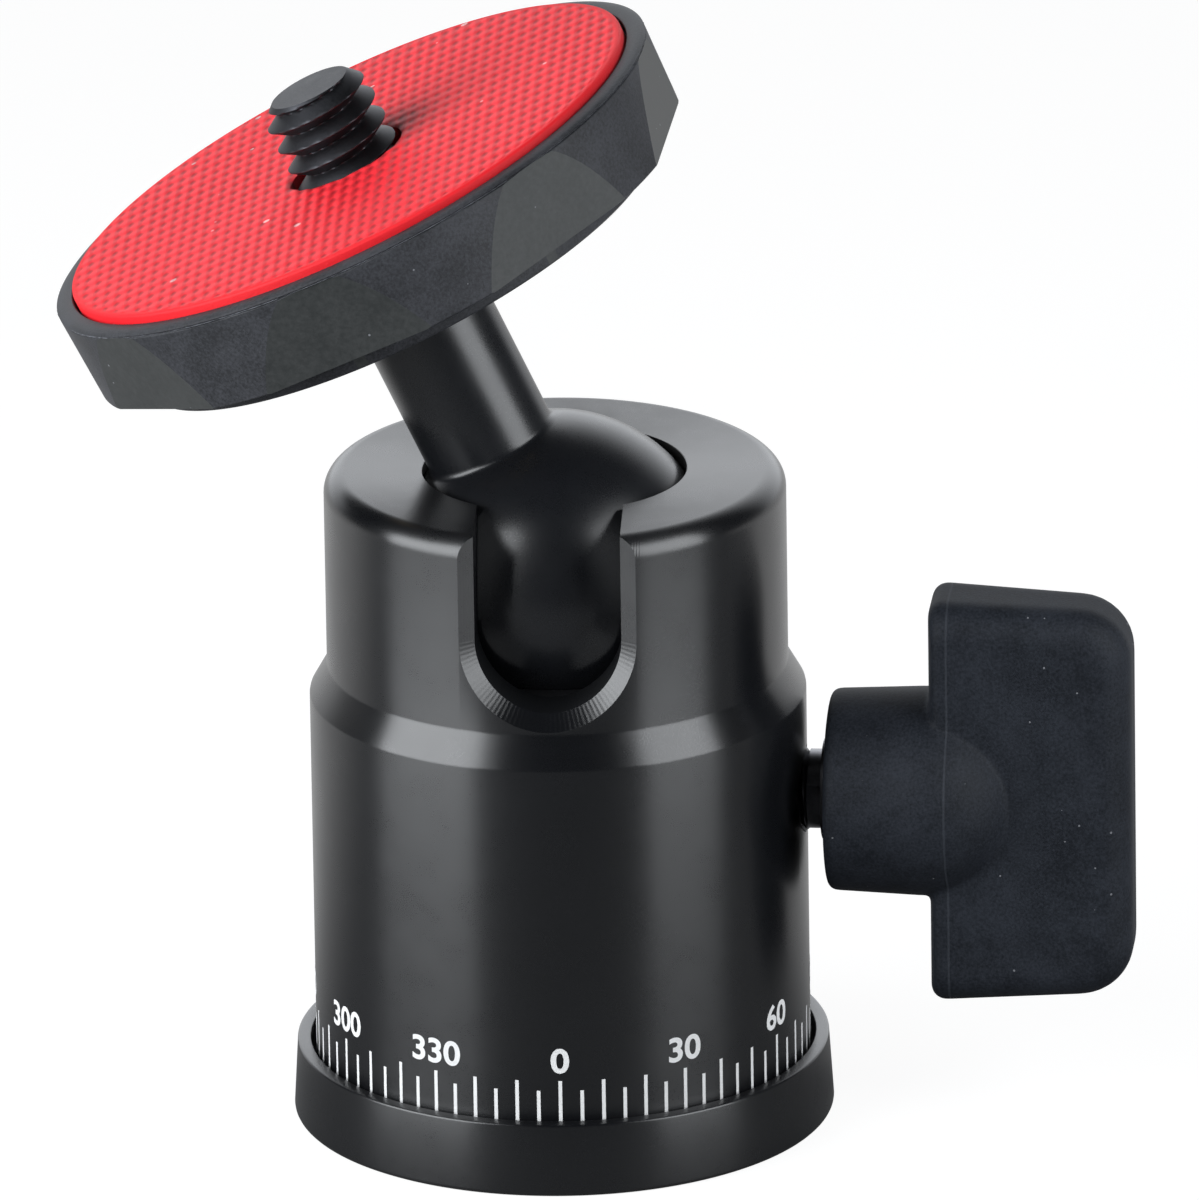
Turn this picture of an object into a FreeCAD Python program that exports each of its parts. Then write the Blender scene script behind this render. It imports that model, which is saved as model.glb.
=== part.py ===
import FreeCAD
import Part
import os
from math import cos, radians, sin, sqrt
from FreeCAD import Vector

# Small tripod ball head, in millimetres.
# The origin is the centre of the flat underside, +Z up along the barrel axis.
# The drop notch faces -Y, the wing knob points along +X, and the stem leans towards -X.

# pan base, the ring that stays on the tripod
BASE_RADIUS = 15.0
BASE_LIP_RADIUS = 14.77
BASE_HEIGHT = 4.15
BASE_FLOOR = 1.8
BASE_CHAMFER = 0.3
BASE_RUNNING_GAP = 0.3

# barrel, the turned housing
LOWER_RADIUS = 13.73
UPPER_RADIUS = 12.75
STEP_DROP = 5.05
STEP_HEIGHT = 1.7
CROWN_RISE = 6.05
CROWN_FILLET = 1.2
BARREL_FOOT_CHAMFER = 0.25
OPENING_RADIUS = 7.1
OPENING_CHAMFER = 0.22
BORE_RADIUS = 9.25

# drop notch for the upright picture position
NOTCH_HALF_WIDTH = 4.02
NOTCH_CHAMFER = 0.85

# ball, stem and the lean that the head is held at
BALL_CENTRE_HEIGHT = 31.25
BALL_RADIUS = 9.0
STEM_RADIUS = 3.69
STEM_FILLET = 0.9
STEM_LENGTH = 19.65
LEAN_DEGREES = 25.0
BALL_SEAT_GAP = 0.05

# camera screw, quarter inch, on a thinner shank that screws into the stem
SCREW_RADIUS = 3.1
SCREW_PROTRUSION = 4.75
SCREW_TIP_CHAMFER = 0.55
SCREW_RELIEF = 0.2
SCREW_RELIEF_RISE = 0.2
SHANK_RADIUS = 2.0
SHANK_LENGTH = 7.0

# locking disc with its grip pad
DISC_THICKNESS = 6.9
DISC_RIM_RADIUS = 17.95
DISC_SKIRT_RADIUS = 17.75
DISC_BOSS_RADIUS = 16.6
DISC_BOSS_TAPER = 0.2
SKIRT_BOTTOM_DEPTH = 5.8
PARTING_DEPTH = 0.75
RIM_LIP_RADIUS = 17.25
PAD_RADIUS = 16.75
PAD_THICKNESS = 1.3
PAD_STANDS_PROUD = 0.45
PAD_EDGE_FILLET = 0.3
PAD_HOLE_RADIUS = 3.75
FACET_COUNT = 8
FACET_START_DEGREES = 5.5
FACET_TOP_HALF_DEGREES = 5.3
FACET_FOOT_HALF_DEGREES = 16.1
DISC_FLOOR = 1.6
RIB_WIDTH = 1.2
POCKET_INNER_RADIUS = 7.6
POCKET_OUTER_RADIUS = 14.9
INSERT_RADIUS = 5.4
INSERT_FLANGE_RADIUS = 6.6
INSERT_FLANGE = 0.8
THREAD_CLEARANCE = 0.08

# clamp below the ball
CUP_TOP_DROP = 4.05
CUP_HOLE_RADIUS = 4.5
CUP_BORE_CLEARANCE = 0.1
PLUNGER_TOP_DROP = 9.35
PLUNGER_LENGTH = 7.3
PLUNGER_TRAVEL = 0.3
PLUNGER_CHAMFER = 0.4
WEDGE_OFFSET = 0.3
WEDGE_CLEARANCE = 0.4

# clamp stud and wing knob
KNOB_DROP = 12.45
KNOB_AZIMUTH_DEGREES = -3.5
STUD_RADIUS = 2.4
STUD_NECK_RADIUS = 2.2
STUD_TIP_RADIUS = 0.7
STUD_TIP = 3.4
STUD_CONE_END = 6.4
STUD_THREAD_END = 13.95
HUB_FACE = 15.05
HUB_RADIUS = 5.6
HUB_ROOT_RADIUS = 5.8
HUB_FACE_FILLET = 0.5
DOME_CENTRE = 20.2
WING_START = 20.7
WING_END = 31.9
WING_PARTING = 21.8
WING_HALF_HEIGHT = 11.7
WING_HALF_THICKNESS = 3.2
WING_DRAFT_DEGREES = 3.2
WING_FACE_DRAFT_DEGREES = 2.2
WING_OUTER_CORNER = 2.8
WING_INNER_CORNER = 0.8
WING_EDGE_FILLET = 0.7
BUSH_RADIUS = 3.4
BUSH_NOSE = 0.35
BUSH_NOSE_RADIUS = 2.95
BUSH_LENGTH = 5.4

# pan bearing and the closing plug
WASHER_THICKNESS = 0.6
PLUG_RADIUS = 11.4
PLUG_THICKNESS = 4.2
FLANGE_GAP = 0.3
SPINDLE_RADIUS = 5.5
SPINDLE_FLANGE_RADIUS = 8.6
SPINDLE_FLANGE = 1.2
THRUST_WASHER = 0.65
THRUST_WASHER_RADIUS = 7.3
CIRCLIP_THICKNESS = 0.56
CIRCLIP_RADIUS = 6.9
CIRCLIP_GROOVE_DEPTH = 0.6
CIRCLIP_MOUTH_DEGREES = 70.0
SPINDLE_CAP = 0.4
SPANNER_HOLE_RADIUS = 0.8
SPANNER_HOLE_DEPTH = 1.5
SPANNER_HOLE_CIRCLE = 10.0
SPRING_RADIUS = 8.2
SPRING_WIRE_RADIUS = 0.4
SPRING_PITCH = 1.9
SPRING_TOP_GAP = 0.35
FIT = 0.05
AXIAL_PLAY = 0.05

# tripod socket
TRIPOD_THREAD_RADIUS = 3.175
TRIPOD_BUSH_RADIUS = 4.6
TRIPOD_BUSH_LENGTH = 7.4
BASE_SCREW_COUNT = 3
BASE_SCREW_CIRCLE = 7.0
BASE_SCREW_RADIUS = 0.95
BASE_SCREW_HEAD_RADIUS = 1.8
BASE_SCREW_HEAD_DEPTH = 0.85
BASE_SCREW_RECESS = 0.1

# places worked out from the sizes above
BARREL_TOP = BALL_CENTRE_HEIGHT + CROWN_RISE
STEP_TOP = BALL_CENTRE_HEIGHT - STEP_DROP
STEP_BOTTOM = STEP_TOP - STEP_HEIGHT
KNOB_HEIGHT = BALL_CENTRE_HEIGHT - KNOB_DROP
CUP_TOP = BALL_CENTRE_HEIGHT - CUP_TOP_DROP
PLUNGER_TOP = BALL_CENTRE_HEIGHT - PLUNGER_TOP_DROP
PLUNGER_BOTTOM = PLUNGER_TOP - PLUNGER_LENGTH
BARREL_BOTTOM = BASE_FLOOR + WASHER_THICKNESS
FLANGE_TOP = BASE_FLOOR + SPINDLE_FLANGE
PLUG_BOTTOM = FLANGE_TOP + FLANGE_GAP
PLUG_TOP = PLUG_BOTTOM + PLUG_THICKNESS
CIRCLIP_BOTTOM = PLUG_TOP + THRUST_WASHER + AXIAL_PLAY
CIRCLIP_TOP = CIRCLIP_BOTTOM + CIRCLIP_THICKNESS
SPINDLE_TOP = CIRCLIP_TOP + SPINDLE_CAP
SEAT_RADIUS = BALL_RADIUS + BALL_SEAT_GAP
NOTCH_BOTTOM = BALL_CENTRE_HEIGHT - NOTCH_HALF_WIDTH
PAD_TOP = STEM_LENGTH + DISC_THICKNESS
DISC_BOTTOM = STEM_LENGTH
RIM_TOP = PAD_TOP - PAD_STANDS_PROUD
PAD_BOTTOM = PAD_TOP - PAD_THICKNESS
SKIRT_BOTTOM = PAD_TOP - SKIRT_BOTTOM_DEPTH
PARTING_HEIGHT = PAD_TOP - PARTING_DEPTH
SCREW_ROOT_RADIUS = SCREW_RADIUS - SCREW_RELIEF
UP = Vector(0, 0, 1)
OUT = Vector(1, 0, 0)
ORIGIN = Vector(0, 0, 0)
FAR = 60.0


def at(radius, height):
    return Vector(radius, 0, height)


def line(start, end):
    return Part.makeLine(start, end)


def arc(start, middle, end):
    return Part.Arc(start, middle, end).toShape()


def turned(edges):
    """Solid of revolution about Z from a closed outline in the XZ plane."""
    wire = Part.Wire(Part.__sortEdges__(edges))
    return Part.Face(wire).revolve(ORIGIN, UP, 360)


def turned_points(points):
    corners = [at(radius, height) for radius, height in points]
    return turned([line(a, b) for a, b in zip(corners, corners[1:] + corners[:1])])


def tube(outer, inner, bottom, top):
    return turned_points([(inner, bottom), (outer, bottom), (outer, top), (inner, top)])


def rod(radius, bottom, top, x=0.0, y=0.0):
    return Part.makeCylinder(radius, top - bottom, Vector(x, y, bottom), UP)


def rounded_corner(centre_radius, centre_height, fillet, start_degrees, end_degrees):
    """Quarter round in the XZ plane, given as its three points."""
    middle = (start_degrees + end_degrees) / 2
    angles = [radians(a) for a in (start_degrees, middle, end_degrees)]
    return [at(centre_radius + fillet * cos(a), centre_height + fillet * sin(a)) for a in angles]


def towards_knob(shape):
    """Lay a shape built along X onto the knob's own axis."""
    shape.translate(Vector(0, 0, KNOB_HEIGHT))
    shape.rotate(ORIGIN, UP, KNOB_AZIMUTH_DEGREES)
    return shape


def on_stem(shape):
    """Tip a shape built about an upright stem, ball centre at the origin, into its lean."""
    shape.rotate(ORIGIN, Vector(0, 1, 0), -LEAN_DEGREES)
    shape.translate(Vector(0, 0, BALL_CENTRE_HEIGHT))
    return shape


def barrel_column():
    """The barrel's outside, carried straight up past the crown."""
    chamfer = BARREL_FOOT_CHAMFER
    return turned_points([
        (0, BARREL_BOTTOM),
        (LOWER_RADIUS - chamfer, BARREL_BOTTOM),
        (LOWER_RADIUS, BARREL_BOTTOM + chamfer),
        (LOWER_RADIUS, STEP_BOTTOM),
        (UPPER_RADIUS, STEP_TOP),
        (UPPER_RADIUS, FAR),
        (0, FAR),
    ])


def crown_trim():
    """What is turned away above the crown and outside its rounded edge."""
    fillet_start, fillet_middle, fillet_end = rounded_corner(
        UPPER_RADIUS - CROWN_FILLET, BARREL_TOP - CROWN_FILLET, CROWN_FILLET, 0, 90)
    beyond = UPPER_RADIUS + CROWN_FILLET
    outline = [
        line(at(beyond, fillet_start.z), fillet_start),
        arc(fillet_start, fillet_middle, fillet_end),
        line(fillet_end, at(0, BARREL_TOP)),
        line(at(0, BARREL_TOP), at(0, FAR + CROWN_FILLET)),
        line(at(0, FAR + CROWN_FILLET), at(beyond, FAR + CROWN_FILLET)),
        line(at(beyond, FAR + CROWN_FILLET), at(beyond, fillet_start.z)),
    ]
    return turned(outline)


def barrel_cavity():
    """Everything bored out: plug seat, clamp bore, ball seat and the crown's opening."""
    seat_top = BALL_CENTRE_HEIGHT + sqrt(SEAT_RADIUS ** 2 - OPENING_RADIUS ** 2)
    seat_middle = SEAT_RADIUS * cos(radians(25))
    seat_middle_height = BALL_CENTRE_HEIGHT + SEAT_RADIUS * sin(radians(25))
    plug_bore = PLUG_RADIUS + FIT
    mouth = BARREL_TOP - OPENING_CHAMFER
    flare = OPENING_RADIUS + 2 * OPENING_CHAMFER
    outline = [
        line(at(0, BARREL_BOTTOM - FIT), at(plug_bore, BARREL_BOTTOM - FIT)),
        line(at(plug_bore, BARREL_BOTTOM - FIT), at(plug_bore, PLUG_TOP)),
        line(at(plug_bore, PLUG_TOP), at(BORE_RADIUS, PLUG_TOP)),
        line(at(BORE_RADIUS, PLUG_TOP), at(BORE_RADIUS, BALL_CENTRE_HEIGHT)),
        line(at(BORE_RADIUS, BALL_CENTRE_HEIGHT), at(SEAT_RADIUS, BALL_CENTRE_HEIGHT)),
        arc(at(SEAT_RADIUS, BALL_CENTRE_HEIGHT), at(seat_middle, seat_middle_height),
            at(OPENING_RADIUS, seat_top)),
        line(at(OPENING_RADIUS, seat_top), at(OPENING_RADIUS, mouth)),
        line(at(OPENING_RADIUS, mouth), at(flare, BARREL_TOP + OPENING_CHAMFER)),
        line(at(flare, BARREL_TOP + OPENING_CHAMFER), at(0, BARREL_TOP + OPENING_CHAMFER)),
        line(at(0, BARREL_TOP + OPENING_CHAMFER), at(0, BARREL_BOTTOM - FIT)),
    ]
    return turned(outline)


def notch_tool():
    """The straight U-shaped cutter of the drop notch, run in from the front."""
    start = Vector(0, -FAR, NOTCH_BOTTOM + NOTCH_HALF_WIDTH)
    foot = Part.makeCylinder(NOTCH_HALF_WIDTH, FAR, start, Vector(0, 1, 0))
    corner = Vector(-NOTCH_HALF_WIDTH, -FAR, NOTCH_BOTTOM + NOTCH_HALF_WIDTH)
    sides = Part.makeBox(2 * NOTCH_HALF_WIDTH, FAR, 2 * FAR, corner)
    return foot.fuse(sides).removeSplitter()


def is_notch_rim(edge):
    """True for the edges where the notch breaks out through the barrel's outside."""
    middle = edge.valueAt((edge.FirstParameter + edge.LastParameter) / 2)
    reach = sqrt(middle.x ** 2 + middle.y ** 2)
    in_notch = abs(middle.x) < NOTCH_HALF_WIDTH + FIT and middle.y < 0
    outside = reach > UPPER_RADIUS - FIT
    return in_notch and outside and middle.z > NOTCH_BOTTOM - FIT


def barrel():
    column = barrel_column().cut(notch_tool())
    rim = [edge for edge in column.Edges if is_notch_rim(edge)]
    body = column.makeChamfer(NOTCH_CHAMFER, rim)
    body = body.cut(crown_trim()).cut(barrel_cavity())
    stud_hole = Part.makeCylinder(STUD_RADIUS + FIT, FAR, ORIGIN, OUT)
    return body.cut(towards_knob(stud_hole))


def pan_base():
    inner = LOWER_RADIUS + BASE_RUNNING_GAP
    lip_break = BASE_CHAMFER / 2
    body = turned_points([
        (SPINDLE_RADIUS + FIT, 0),
        (BASE_RADIUS - BASE_CHAMFER, 0),
        (BASE_RADIUS, BASE_CHAMFER),
        (BASE_LIP_RADIUS, BASE_HEIGHT - lip_break),
        (BASE_LIP_RADIUS - lip_break, BASE_HEIGHT),
        (inner, BASE_HEIGHT),
        (inner, BASE_FLOOR),
        (SPINDLE_RADIUS + FIT, BASE_FLOOR),
    ])
    for x, y in base_screw_places():
        body = body.cut(base_screw_solid(x, y, FIT, 0.0))
    return body


def base_screw_places():
    step = 360 / BASE_SCREW_COUNT
    angles = [radians(90 + step * number) for number in range(BASE_SCREW_COUNT)]
    return [(BASE_SCREW_CIRCLE * cos(a), BASE_SCREW_CIRCLE * sin(a)) for a in angles]


def base_screw_solid(x, y, clearance, start):
    """A countersunk screw from below; the clearance makes the same shape into its hole."""
    head_top = BASE_SCREW_RECESS + BASE_SCREW_HEAD_DEPTH
    top = FLANGE_TOP - 4 * FIT + clearance
    head = Part.makeCone(BASE_SCREW_HEAD_RADIUS + clearance, BASE_SCREW_RADIUS + clearance,
                         BASE_SCREW_HEAD_DEPTH, Vector(x, y, BASE_SCREW_RECESS), UP)
    shank = rod(BASE_SCREW_RADIUS + clearance, head_top, top, x, y)
    solid = head.fuse(shank)
    if start < BASE_SCREW_RECESS:
        solid = solid.fuse(rod(BASE_SCREW_HEAD_RADIUS + clearance, start, BASE_SCREW_RECESS, x, y))
    return solid.removeSplitter()


def base_screws():
    return Part.makeCompound([base_screw_solid(x, y, 0.0, BASE_SCREW_RECESS)
                              for x, y in base_screw_places()])


def pan_spindle():
    groove = SPINDLE_RADIUS - CIRCLIP_GROOVE_DEPTH
    bore = TRIPOD_BUSH_RADIUS + FIT
    bore_top = TRIPOD_BUSH_LENGTH + 2 * FIT
    body = turned_points([
        (bore, 0),
        (SPINDLE_RADIUS, 0),
        (SPINDLE_RADIUS, BASE_FLOOR),
        (SPINDLE_FLANGE_RADIUS, BASE_FLOOR),
        (SPINDLE_FLANGE_RADIUS, FLANGE_TOP),
        (SPINDLE_RADIUS, FLANGE_TOP),
        (SPINDLE_RADIUS, CIRCLIP_BOTTOM - FIT / 2),
        (groove, CIRCLIP_BOTTOM - FIT / 2),
        (groove, CIRCLIP_TOP + FIT / 2),
        (SPINDLE_RADIUS, CIRCLIP_TOP + FIT / 2),
        (SPINDLE_RADIUS, SPINDLE_TOP),
        (0, SPINDLE_TOP),
        (0, bore_top),
        (bore, bore_top),
    ])
    for x, y in base_screw_places():
        body = body.cut(base_screw_solid(x, y, FIT, 0.0))
    return body


def tripod_bush():
    return tube(TRIPOD_BUSH_RADIUS, TRIPOD_THREAD_RADIUS, 0, TRIPOD_BUSH_LENGTH)


def pan_washer():
    return tube(LOWER_RADIUS - BASE_RUNNING_GAP, SPINDLE_FLANGE_RADIUS + BASE_RUNNING_GAP,
                BASE_FLOOR, BARREL_BOTTOM)


def bottom_plug():
    body = tube(PLUG_RADIUS, SPINDLE_RADIUS + FIT, PLUG_BOTTOM, PLUG_TOP)
    for side in (-1, 1):
        body = body.cut(rod(SPANNER_HOLE_RADIUS, PLUG_BOTTOM - FIT,
                            PLUG_BOTTOM + SPANNER_HOLE_DEPTH, side * SPANNER_HOLE_CIRCLE))
    return body


def thrust_washer():
    return tube(THRUST_WASHER_RADIUS, SPINDLE_RADIUS + FIT, PLUG_TOP, PLUG_TOP + THRUST_WASHER)


def spindle_circlip():
    ring = tube(CIRCLIP_RADIUS, SPINDLE_RADIUS - CIRCLIP_GROOVE_DEPTH + FIT,
                CIRCLIP_BOTTOM, CIRCLIP_TOP)
    mouth = Part.makeCylinder(FAR, CIRCLIP_THICKNESS, at(0, CIRCLIP_BOTTOM), UP,
                              CIRCLIP_MOUTH_DEGREES)
    mouth.rotate(ORIGIN, UP, 90 - CIRCLIP_MOUTH_DEGREES / 2)
    return ring.cut(mouth)


def drag_spring():
    """Open coil spring standing on the plug, just short of the plunger when it is loose."""
    height = PLUNGER_BOTTOM - SPRING_TOP_GAP - PLUG_TOP - 2 * SPRING_WIRE_RADIUS
    path = Part.Wire(Part.makeHelix(SPRING_PITCH, height, SPRING_RADIUS).Edges)
    section = Part.Wire(Part.makeCircle(SPRING_WIRE_RADIUS, at(SPRING_RADIUS, 0), Vector(0, 1, 0)))
    spring = path.makePipeShell([section], True, True)
    spring.translate(at(0, PLUG_TOP + SPRING_WIRE_RADIUS + FIT / 2))
    return spring


def clamp_plunger():
    radius = BORE_RADIUS - CUP_BORE_CLEARANCE
    body = turned_points([
        (0, PLUNGER_BOTTOM),
        (radius - PLUNGER_CHAMFER, PLUNGER_BOTTOM),
        (radius, PLUNGER_BOTTOM + PLUNGER_CHAMFER),
        (radius, PLUNGER_TOP),
        (0, PLUNGER_TOP),
    ])
    widest = STUD_RADIUS + WEDGE_CLEARANCE
    tip = STUD_TIP_RADIUS + WEDGE_CLEARANCE
    cone_length = STUD_CONE_END - STUD_TIP
    pocket = Part.makeCone(tip, widest, cone_length, Vector(STUD_TIP, 0, 0), OUT)
    mouth = STUD_RADIUS + WEDGE_OFFSET + PLUNGER_TRAVEL + 2 * FIT
    way_in = Part.makeCylinder(mouth, FAR, Vector(STUD_CONE_END, 0, 0), OUT)
    end = Part.makeCylinder(tip, WEDGE_CLEARANCE, Vector(STUD_TIP - WEDGE_CLEARANCE, 0, 0), OUT)
    tool = pocket.fuse(way_in).fuse(end)
    tool.translate(Vector(0, 0, -WEDGE_OFFSET))
    return body.cut(towards_knob(tool))


def ball_cup():
    body = tube(BORE_RADIUS - CUP_BORE_CLEARANCE, CUP_HOLE_RADIUS, PLUNGER_TOP, CUP_TOP)
    return body.cut(Part.makeSphere(SEAT_RADIUS, at(0, BALL_CENTRE_HEIGHT)))


def clamp_stud():
    end = HUB_FACE - BUSH_NOSE + BUSH_LENGTH
    tip = Part.makeCone(STUD_TIP_RADIUS, STUD_RADIUS, STUD_CONE_END - STUD_TIP,
                        Vector(STUD_TIP, 0, 0), OUT)
    thread = Part.makeCylinder(STUD_RADIUS, STUD_THREAD_END - STUD_CONE_END,
                               Vector(STUD_CONE_END, 0, 0), OUT)
    neck = Part.makeCylinder(STUD_NECK_RADIUS, end - STUD_THREAD_END,
                             Vector(STUD_THREAD_END, 0, 0), OUT)
    return towards_knob(tip.fuse(thread).fuse(neck).removeSplitter())


def knob_bush_solid(clearance):
    """Metal bush moulded into the knob, with a small cone standing out of the hub face."""
    start = HUB_FACE - BUSH_NOSE
    nose = Part.makeCone(BUSH_NOSE_RADIUS - BUSH_NOSE / 2, BUSH_NOSE_RADIUS, BUSH_NOSE,
                         Vector(start, 0, 0), OUT)
    neck = Part.makeCylinder(BUSH_NOSE_RADIUS + clearance, BUSH_NOSE, Vector(HUB_FACE, 0, 0), OUT)
    head = Part.makeCylinder(BUSH_RADIUS + clearance, BUSH_LENGTH - 2 * BUSH_NOSE + clearance,
                             Vector(HUB_FACE + BUSH_NOSE - clearance, 0, 0), OUT)
    solid = nose.fuse(neck).fuse(head).removeSplitter()
    return solid


def knob_bush():
    bore = Part.makeCylinder(STUD_NECK_RADIUS + FIT, FAR, ORIGIN, OUT)
    return towards_knob(knob_bush_solid(0.0).cut(bore))


def wing_outline():
    """Side outline of the wing in the XZ plane: near rectangle, drafted, with round corners."""
    drop = (WING_END - WING_PARTING) * sin(radians(WING_DRAFT_DEGREES))
    inner = WING_HALF_HEIGHT
    outer = WING_HALF_HEIGHT - drop
    corners = [Vector(WING_START, 0, -inner), Vector(WING_END, 0, -outer),
               Vector(WING_END, 0, outer), Vector(WING_START, 0, inner)]
    radii = [WING_INNER_CORNER, WING_OUTER_CORNER, WING_OUTER_CORNER, WING_INNER_CORNER]
    return rounded_polygon(corners, radii)


def rounded_polygon(corners, radii):
    """Closed wire through the corners with a round of its own at each."""
    count = len(corners)
    rounds = []
    for number, corner in enumerate(corners):
        before = (corners[number - 1] - corner).normalize()
        after = (corners[(number + 1) % count] - corner).normalize()
        half = before.getAngle(after) / 2
        inward = (before + after).normalize()
        radius = radii[number]
        reach = radius / sin(half) * cos(half)
        centre = corner + inward * (radius / sin(half))
        middle = centre - inward * radius
        rounds.append((corner + before * reach, middle, corner + after * reach))
    edges = []
    for number, (start, middle, end) in enumerate(rounds):
        edges.append(arc(start, middle, end))
        edges.append(line(end, rounds[(number + 1) % count][0]))
    return Part.Wire(Part.__sortEdges__(edges))


def wing_plate():
    plate = Part.Face(wing_outline()).extrude(Vector(0, 2 * WING_HALF_THICKNESS, 0))
    plate.translate(Vector(0, -WING_HALF_THICKNESS, 0))
    for side in (-1, 1):
        shaving = Part.makeBox(FAR, FAR, 2 * FAR, Vector(0, 0, -FAR))
        if side < 0:
            shaving.translate(Vector(0, -FAR, 0))
        shaving.rotate(ORIGIN, UP, -side * WING_FACE_DRAFT_DEGREES)
        shaving.translate(Vector(WING_PARTING, side * WING_HALF_THICKNESS, 0))
        plate = plate.cut(shaving)
    border = [edge for edge in plate.Edges if is_wing_border(edge)]
    return plate.makeFillet(WING_EDGE_FILLET, border)


def is_wing_border(edge):
    """True for the edges round the wing's two broad faces."""
    across = edge.BoundBox.YLength
    middle = edge.CenterOfMass
    near_face = abs(middle.y) > WING_HALF_THICKNESS - WING_EDGE_FILLET
    return near_face and across < WING_EDGE_FILLET and not is_draft_ridge(edge)


def is_draft_ridge(edge):
    box = edge.BoundBox
    return box.XLength < 0.01 and abs(box.XMin - WING_PARTING) < 0.01


def wing_knob():
    face = HUB_FACE
    fillet = HUB_FACE_FILLET
    slope = (HUB_ROOT_RADIUS - HUB_RADIUS) / (DOME_CENTRE - face)
    hub = Part.makeCone(HUB_RADIUS, HUB_RADIUS + slope * (DOME_CENTRE - face),
                        DOME_CENTRE - face, Vector(face, 0, 0), OUT)
    front_edge = [edge for edge in hub.Edges if edge.BoundBox.XMax < face + 0.01]
    hub = hub.makeFillet(fillet, front_edge)
    dome = Part.makeSphere(HUB_ROOT_RADIUS, Vector(DOME_CENTRE, 0, 0), OUT, 0, 90, 360)
    body = hub.fuse(dome).fuse(wing_plate()).removeSplitter()
    return towards_knob(body.cut(knob_bush_solid(FIT)))


def ball_stem():
    foot = sqrt((BALL_RADIUS + STEM_FILLET) ** 2 - (STEM_RADIUS + STEM_FILLET) ** 2)
    fillet_centre = at(STEM_RADIUS + STEM_FILLET, foot)
    on_ball = fillet_centre * (BALL_RADIUS / (BALL_RADIUS + STEM_FILLET))
    on_stem_side = at(STEM_RADIUS, foot)
    inward = (on_ball + on_stem_side - fillet_centre * 2).normalize()
    hollow = fillet_centre + inward * STEM_FILLET
    bore = SHANK_RADIUS + FIT
    bore_bottom = STEM_LENGTH - SHANK_LENGTH - 4 * FIT
    outline = [
        line(at(0, -BALL_RADIUS), at(0, bore_bottom)),
        line(at(0, bore_bottom), at(bore, bore_bottom)),
        line(at(bore, bore_bottom), at(bore, STEM_LENGTH)),
        line(at(bore, STEM_LENGTH), at(STEM_RADIUS, STEM_LENGTH)),
        line(at(STEM_RADIUS, STEM_LENGTH), on_stem_side),
        arc(on_stem_side, hollow, on_ball),
        arc(on_ball, at(BALL_RADIUS, 0), at(0, -BALL_RADIUS)),
    ]
    return on_stem(turned(outline))


def camera_screw():
    top = PAD_TOP + SCREW_PROTRUSION
    return on_stem(turned_points([
        (0, STEM_LENGTH - SHANK_LENGTH),
        (SHANK_RADIUS, STEM_LENGTH - SHANK_LENGTH),
        (SHANK_RADIUS, STEM_LENGTH),
        (SCREW_ROOT_RADIUS, STEM_LENGTH),
        (SCREW_ROOT_RADIUS, PAD_TOP + SCREW_RELIEF_RISE),
        (SCREW_RADIUS, PAD_TOP + SCREW_RELIEF_RISE),
        (SCREW_RADIUS, top - SCREW_TIP_CHAMFER),
        (SCREW_RADIUS - SCREW_TIP_CHAMFER, top),
        (0, top),
    ]))


def disc_insert():
    """Threaded metal bush that carries the disc on the camera screw."""
    bore = SCREW_ROOT_RADIUS + THREAD_CLEARANCE
    top = PAD_BOTTOM - FIT
    return on_stem(turned_points([
        (bore, STEM_LENGTH),
        (INSERT_RADIUS, STEM_LENGTH),
        (INSERT_RADIUS, top - INSERT_FLANGE),
        (INSERT_FLANGE_RADIUS, top - INSERT_FLANGE),
        (INSERT_FLANGE_RADIUS, top),
        (bore, top),
    ]))


def disc_blank():
    pad_well = PAD_RADIUS + 3 * FIT
    insert_hole = INSERT_RADIUS + FIT
    flange_hole = INSERT_FLANGE_RADIUS + FIT
    flange_floor = PAD_BOTTOM - INSERT_FLANGE - 2 * FIT
    lip = RIM_TOP - PARTING_HEIGHT
    round_radius = DISC_RIM_RADIUS - RIM_LIP_RADIUS
    shoulder = at(RIM_LIP_RADIUS + round_radius * cos(radians(45)),
                  PARTING_HEIGHT + lip * sin(radians(45)))
    outline = [
        line(at(insert_hole, DISC_BOTTOM), at(DISC_BOSS_RADIUS - DISC_BOSS_TAPER, DISC_BOTTOM)),
        line(at(DISC_BOSS_RADIUS - DISC_BOSS_TAPER, DISC_BOTTOM), at(DISC_BOSS_RADIUS, SKIRT_BOTTOM)),
        line(at(DISC_BOSS_RADIUS, SKIRT_BOTTOM), at(DISC_SKIRT_RADIUS, SKIRT_BOTTOM)),
        line(at(DISC_SKIRT_RADIUS, SKIRT_BOTTOM), at(DISC_RIM_RADIUS, PARTING_HEIGHT)),
        arc(at(DISC_RIM_RADIUS, PARTING_HEIGHT), shoulder, at(RIM_LIP_RADIUS, RIM_TOP)),
        line(at(RIM_LIP_RADIUS, RIM_TOP), at(pad_well, RIM_TOP)),
        line(at(pad_well, RIM_TOP), at(pad_well, PAD_BOTTOM)),
        line(at(pad_well, PAD_BOTTOM), at(flange_hole, PAD_BOTTOM)),
        line(at(flange_hole, PAD_BOTTOM), at(flange_hole, flange_floor)),
        line(at(flange_hole, flange_floor), at(insert_hole, flange_floor)),
        line(at(insert_hole, flange_floor), at(insert_hole, DISC_BOTTOM)),
    ]
    return turned(outline)


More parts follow.
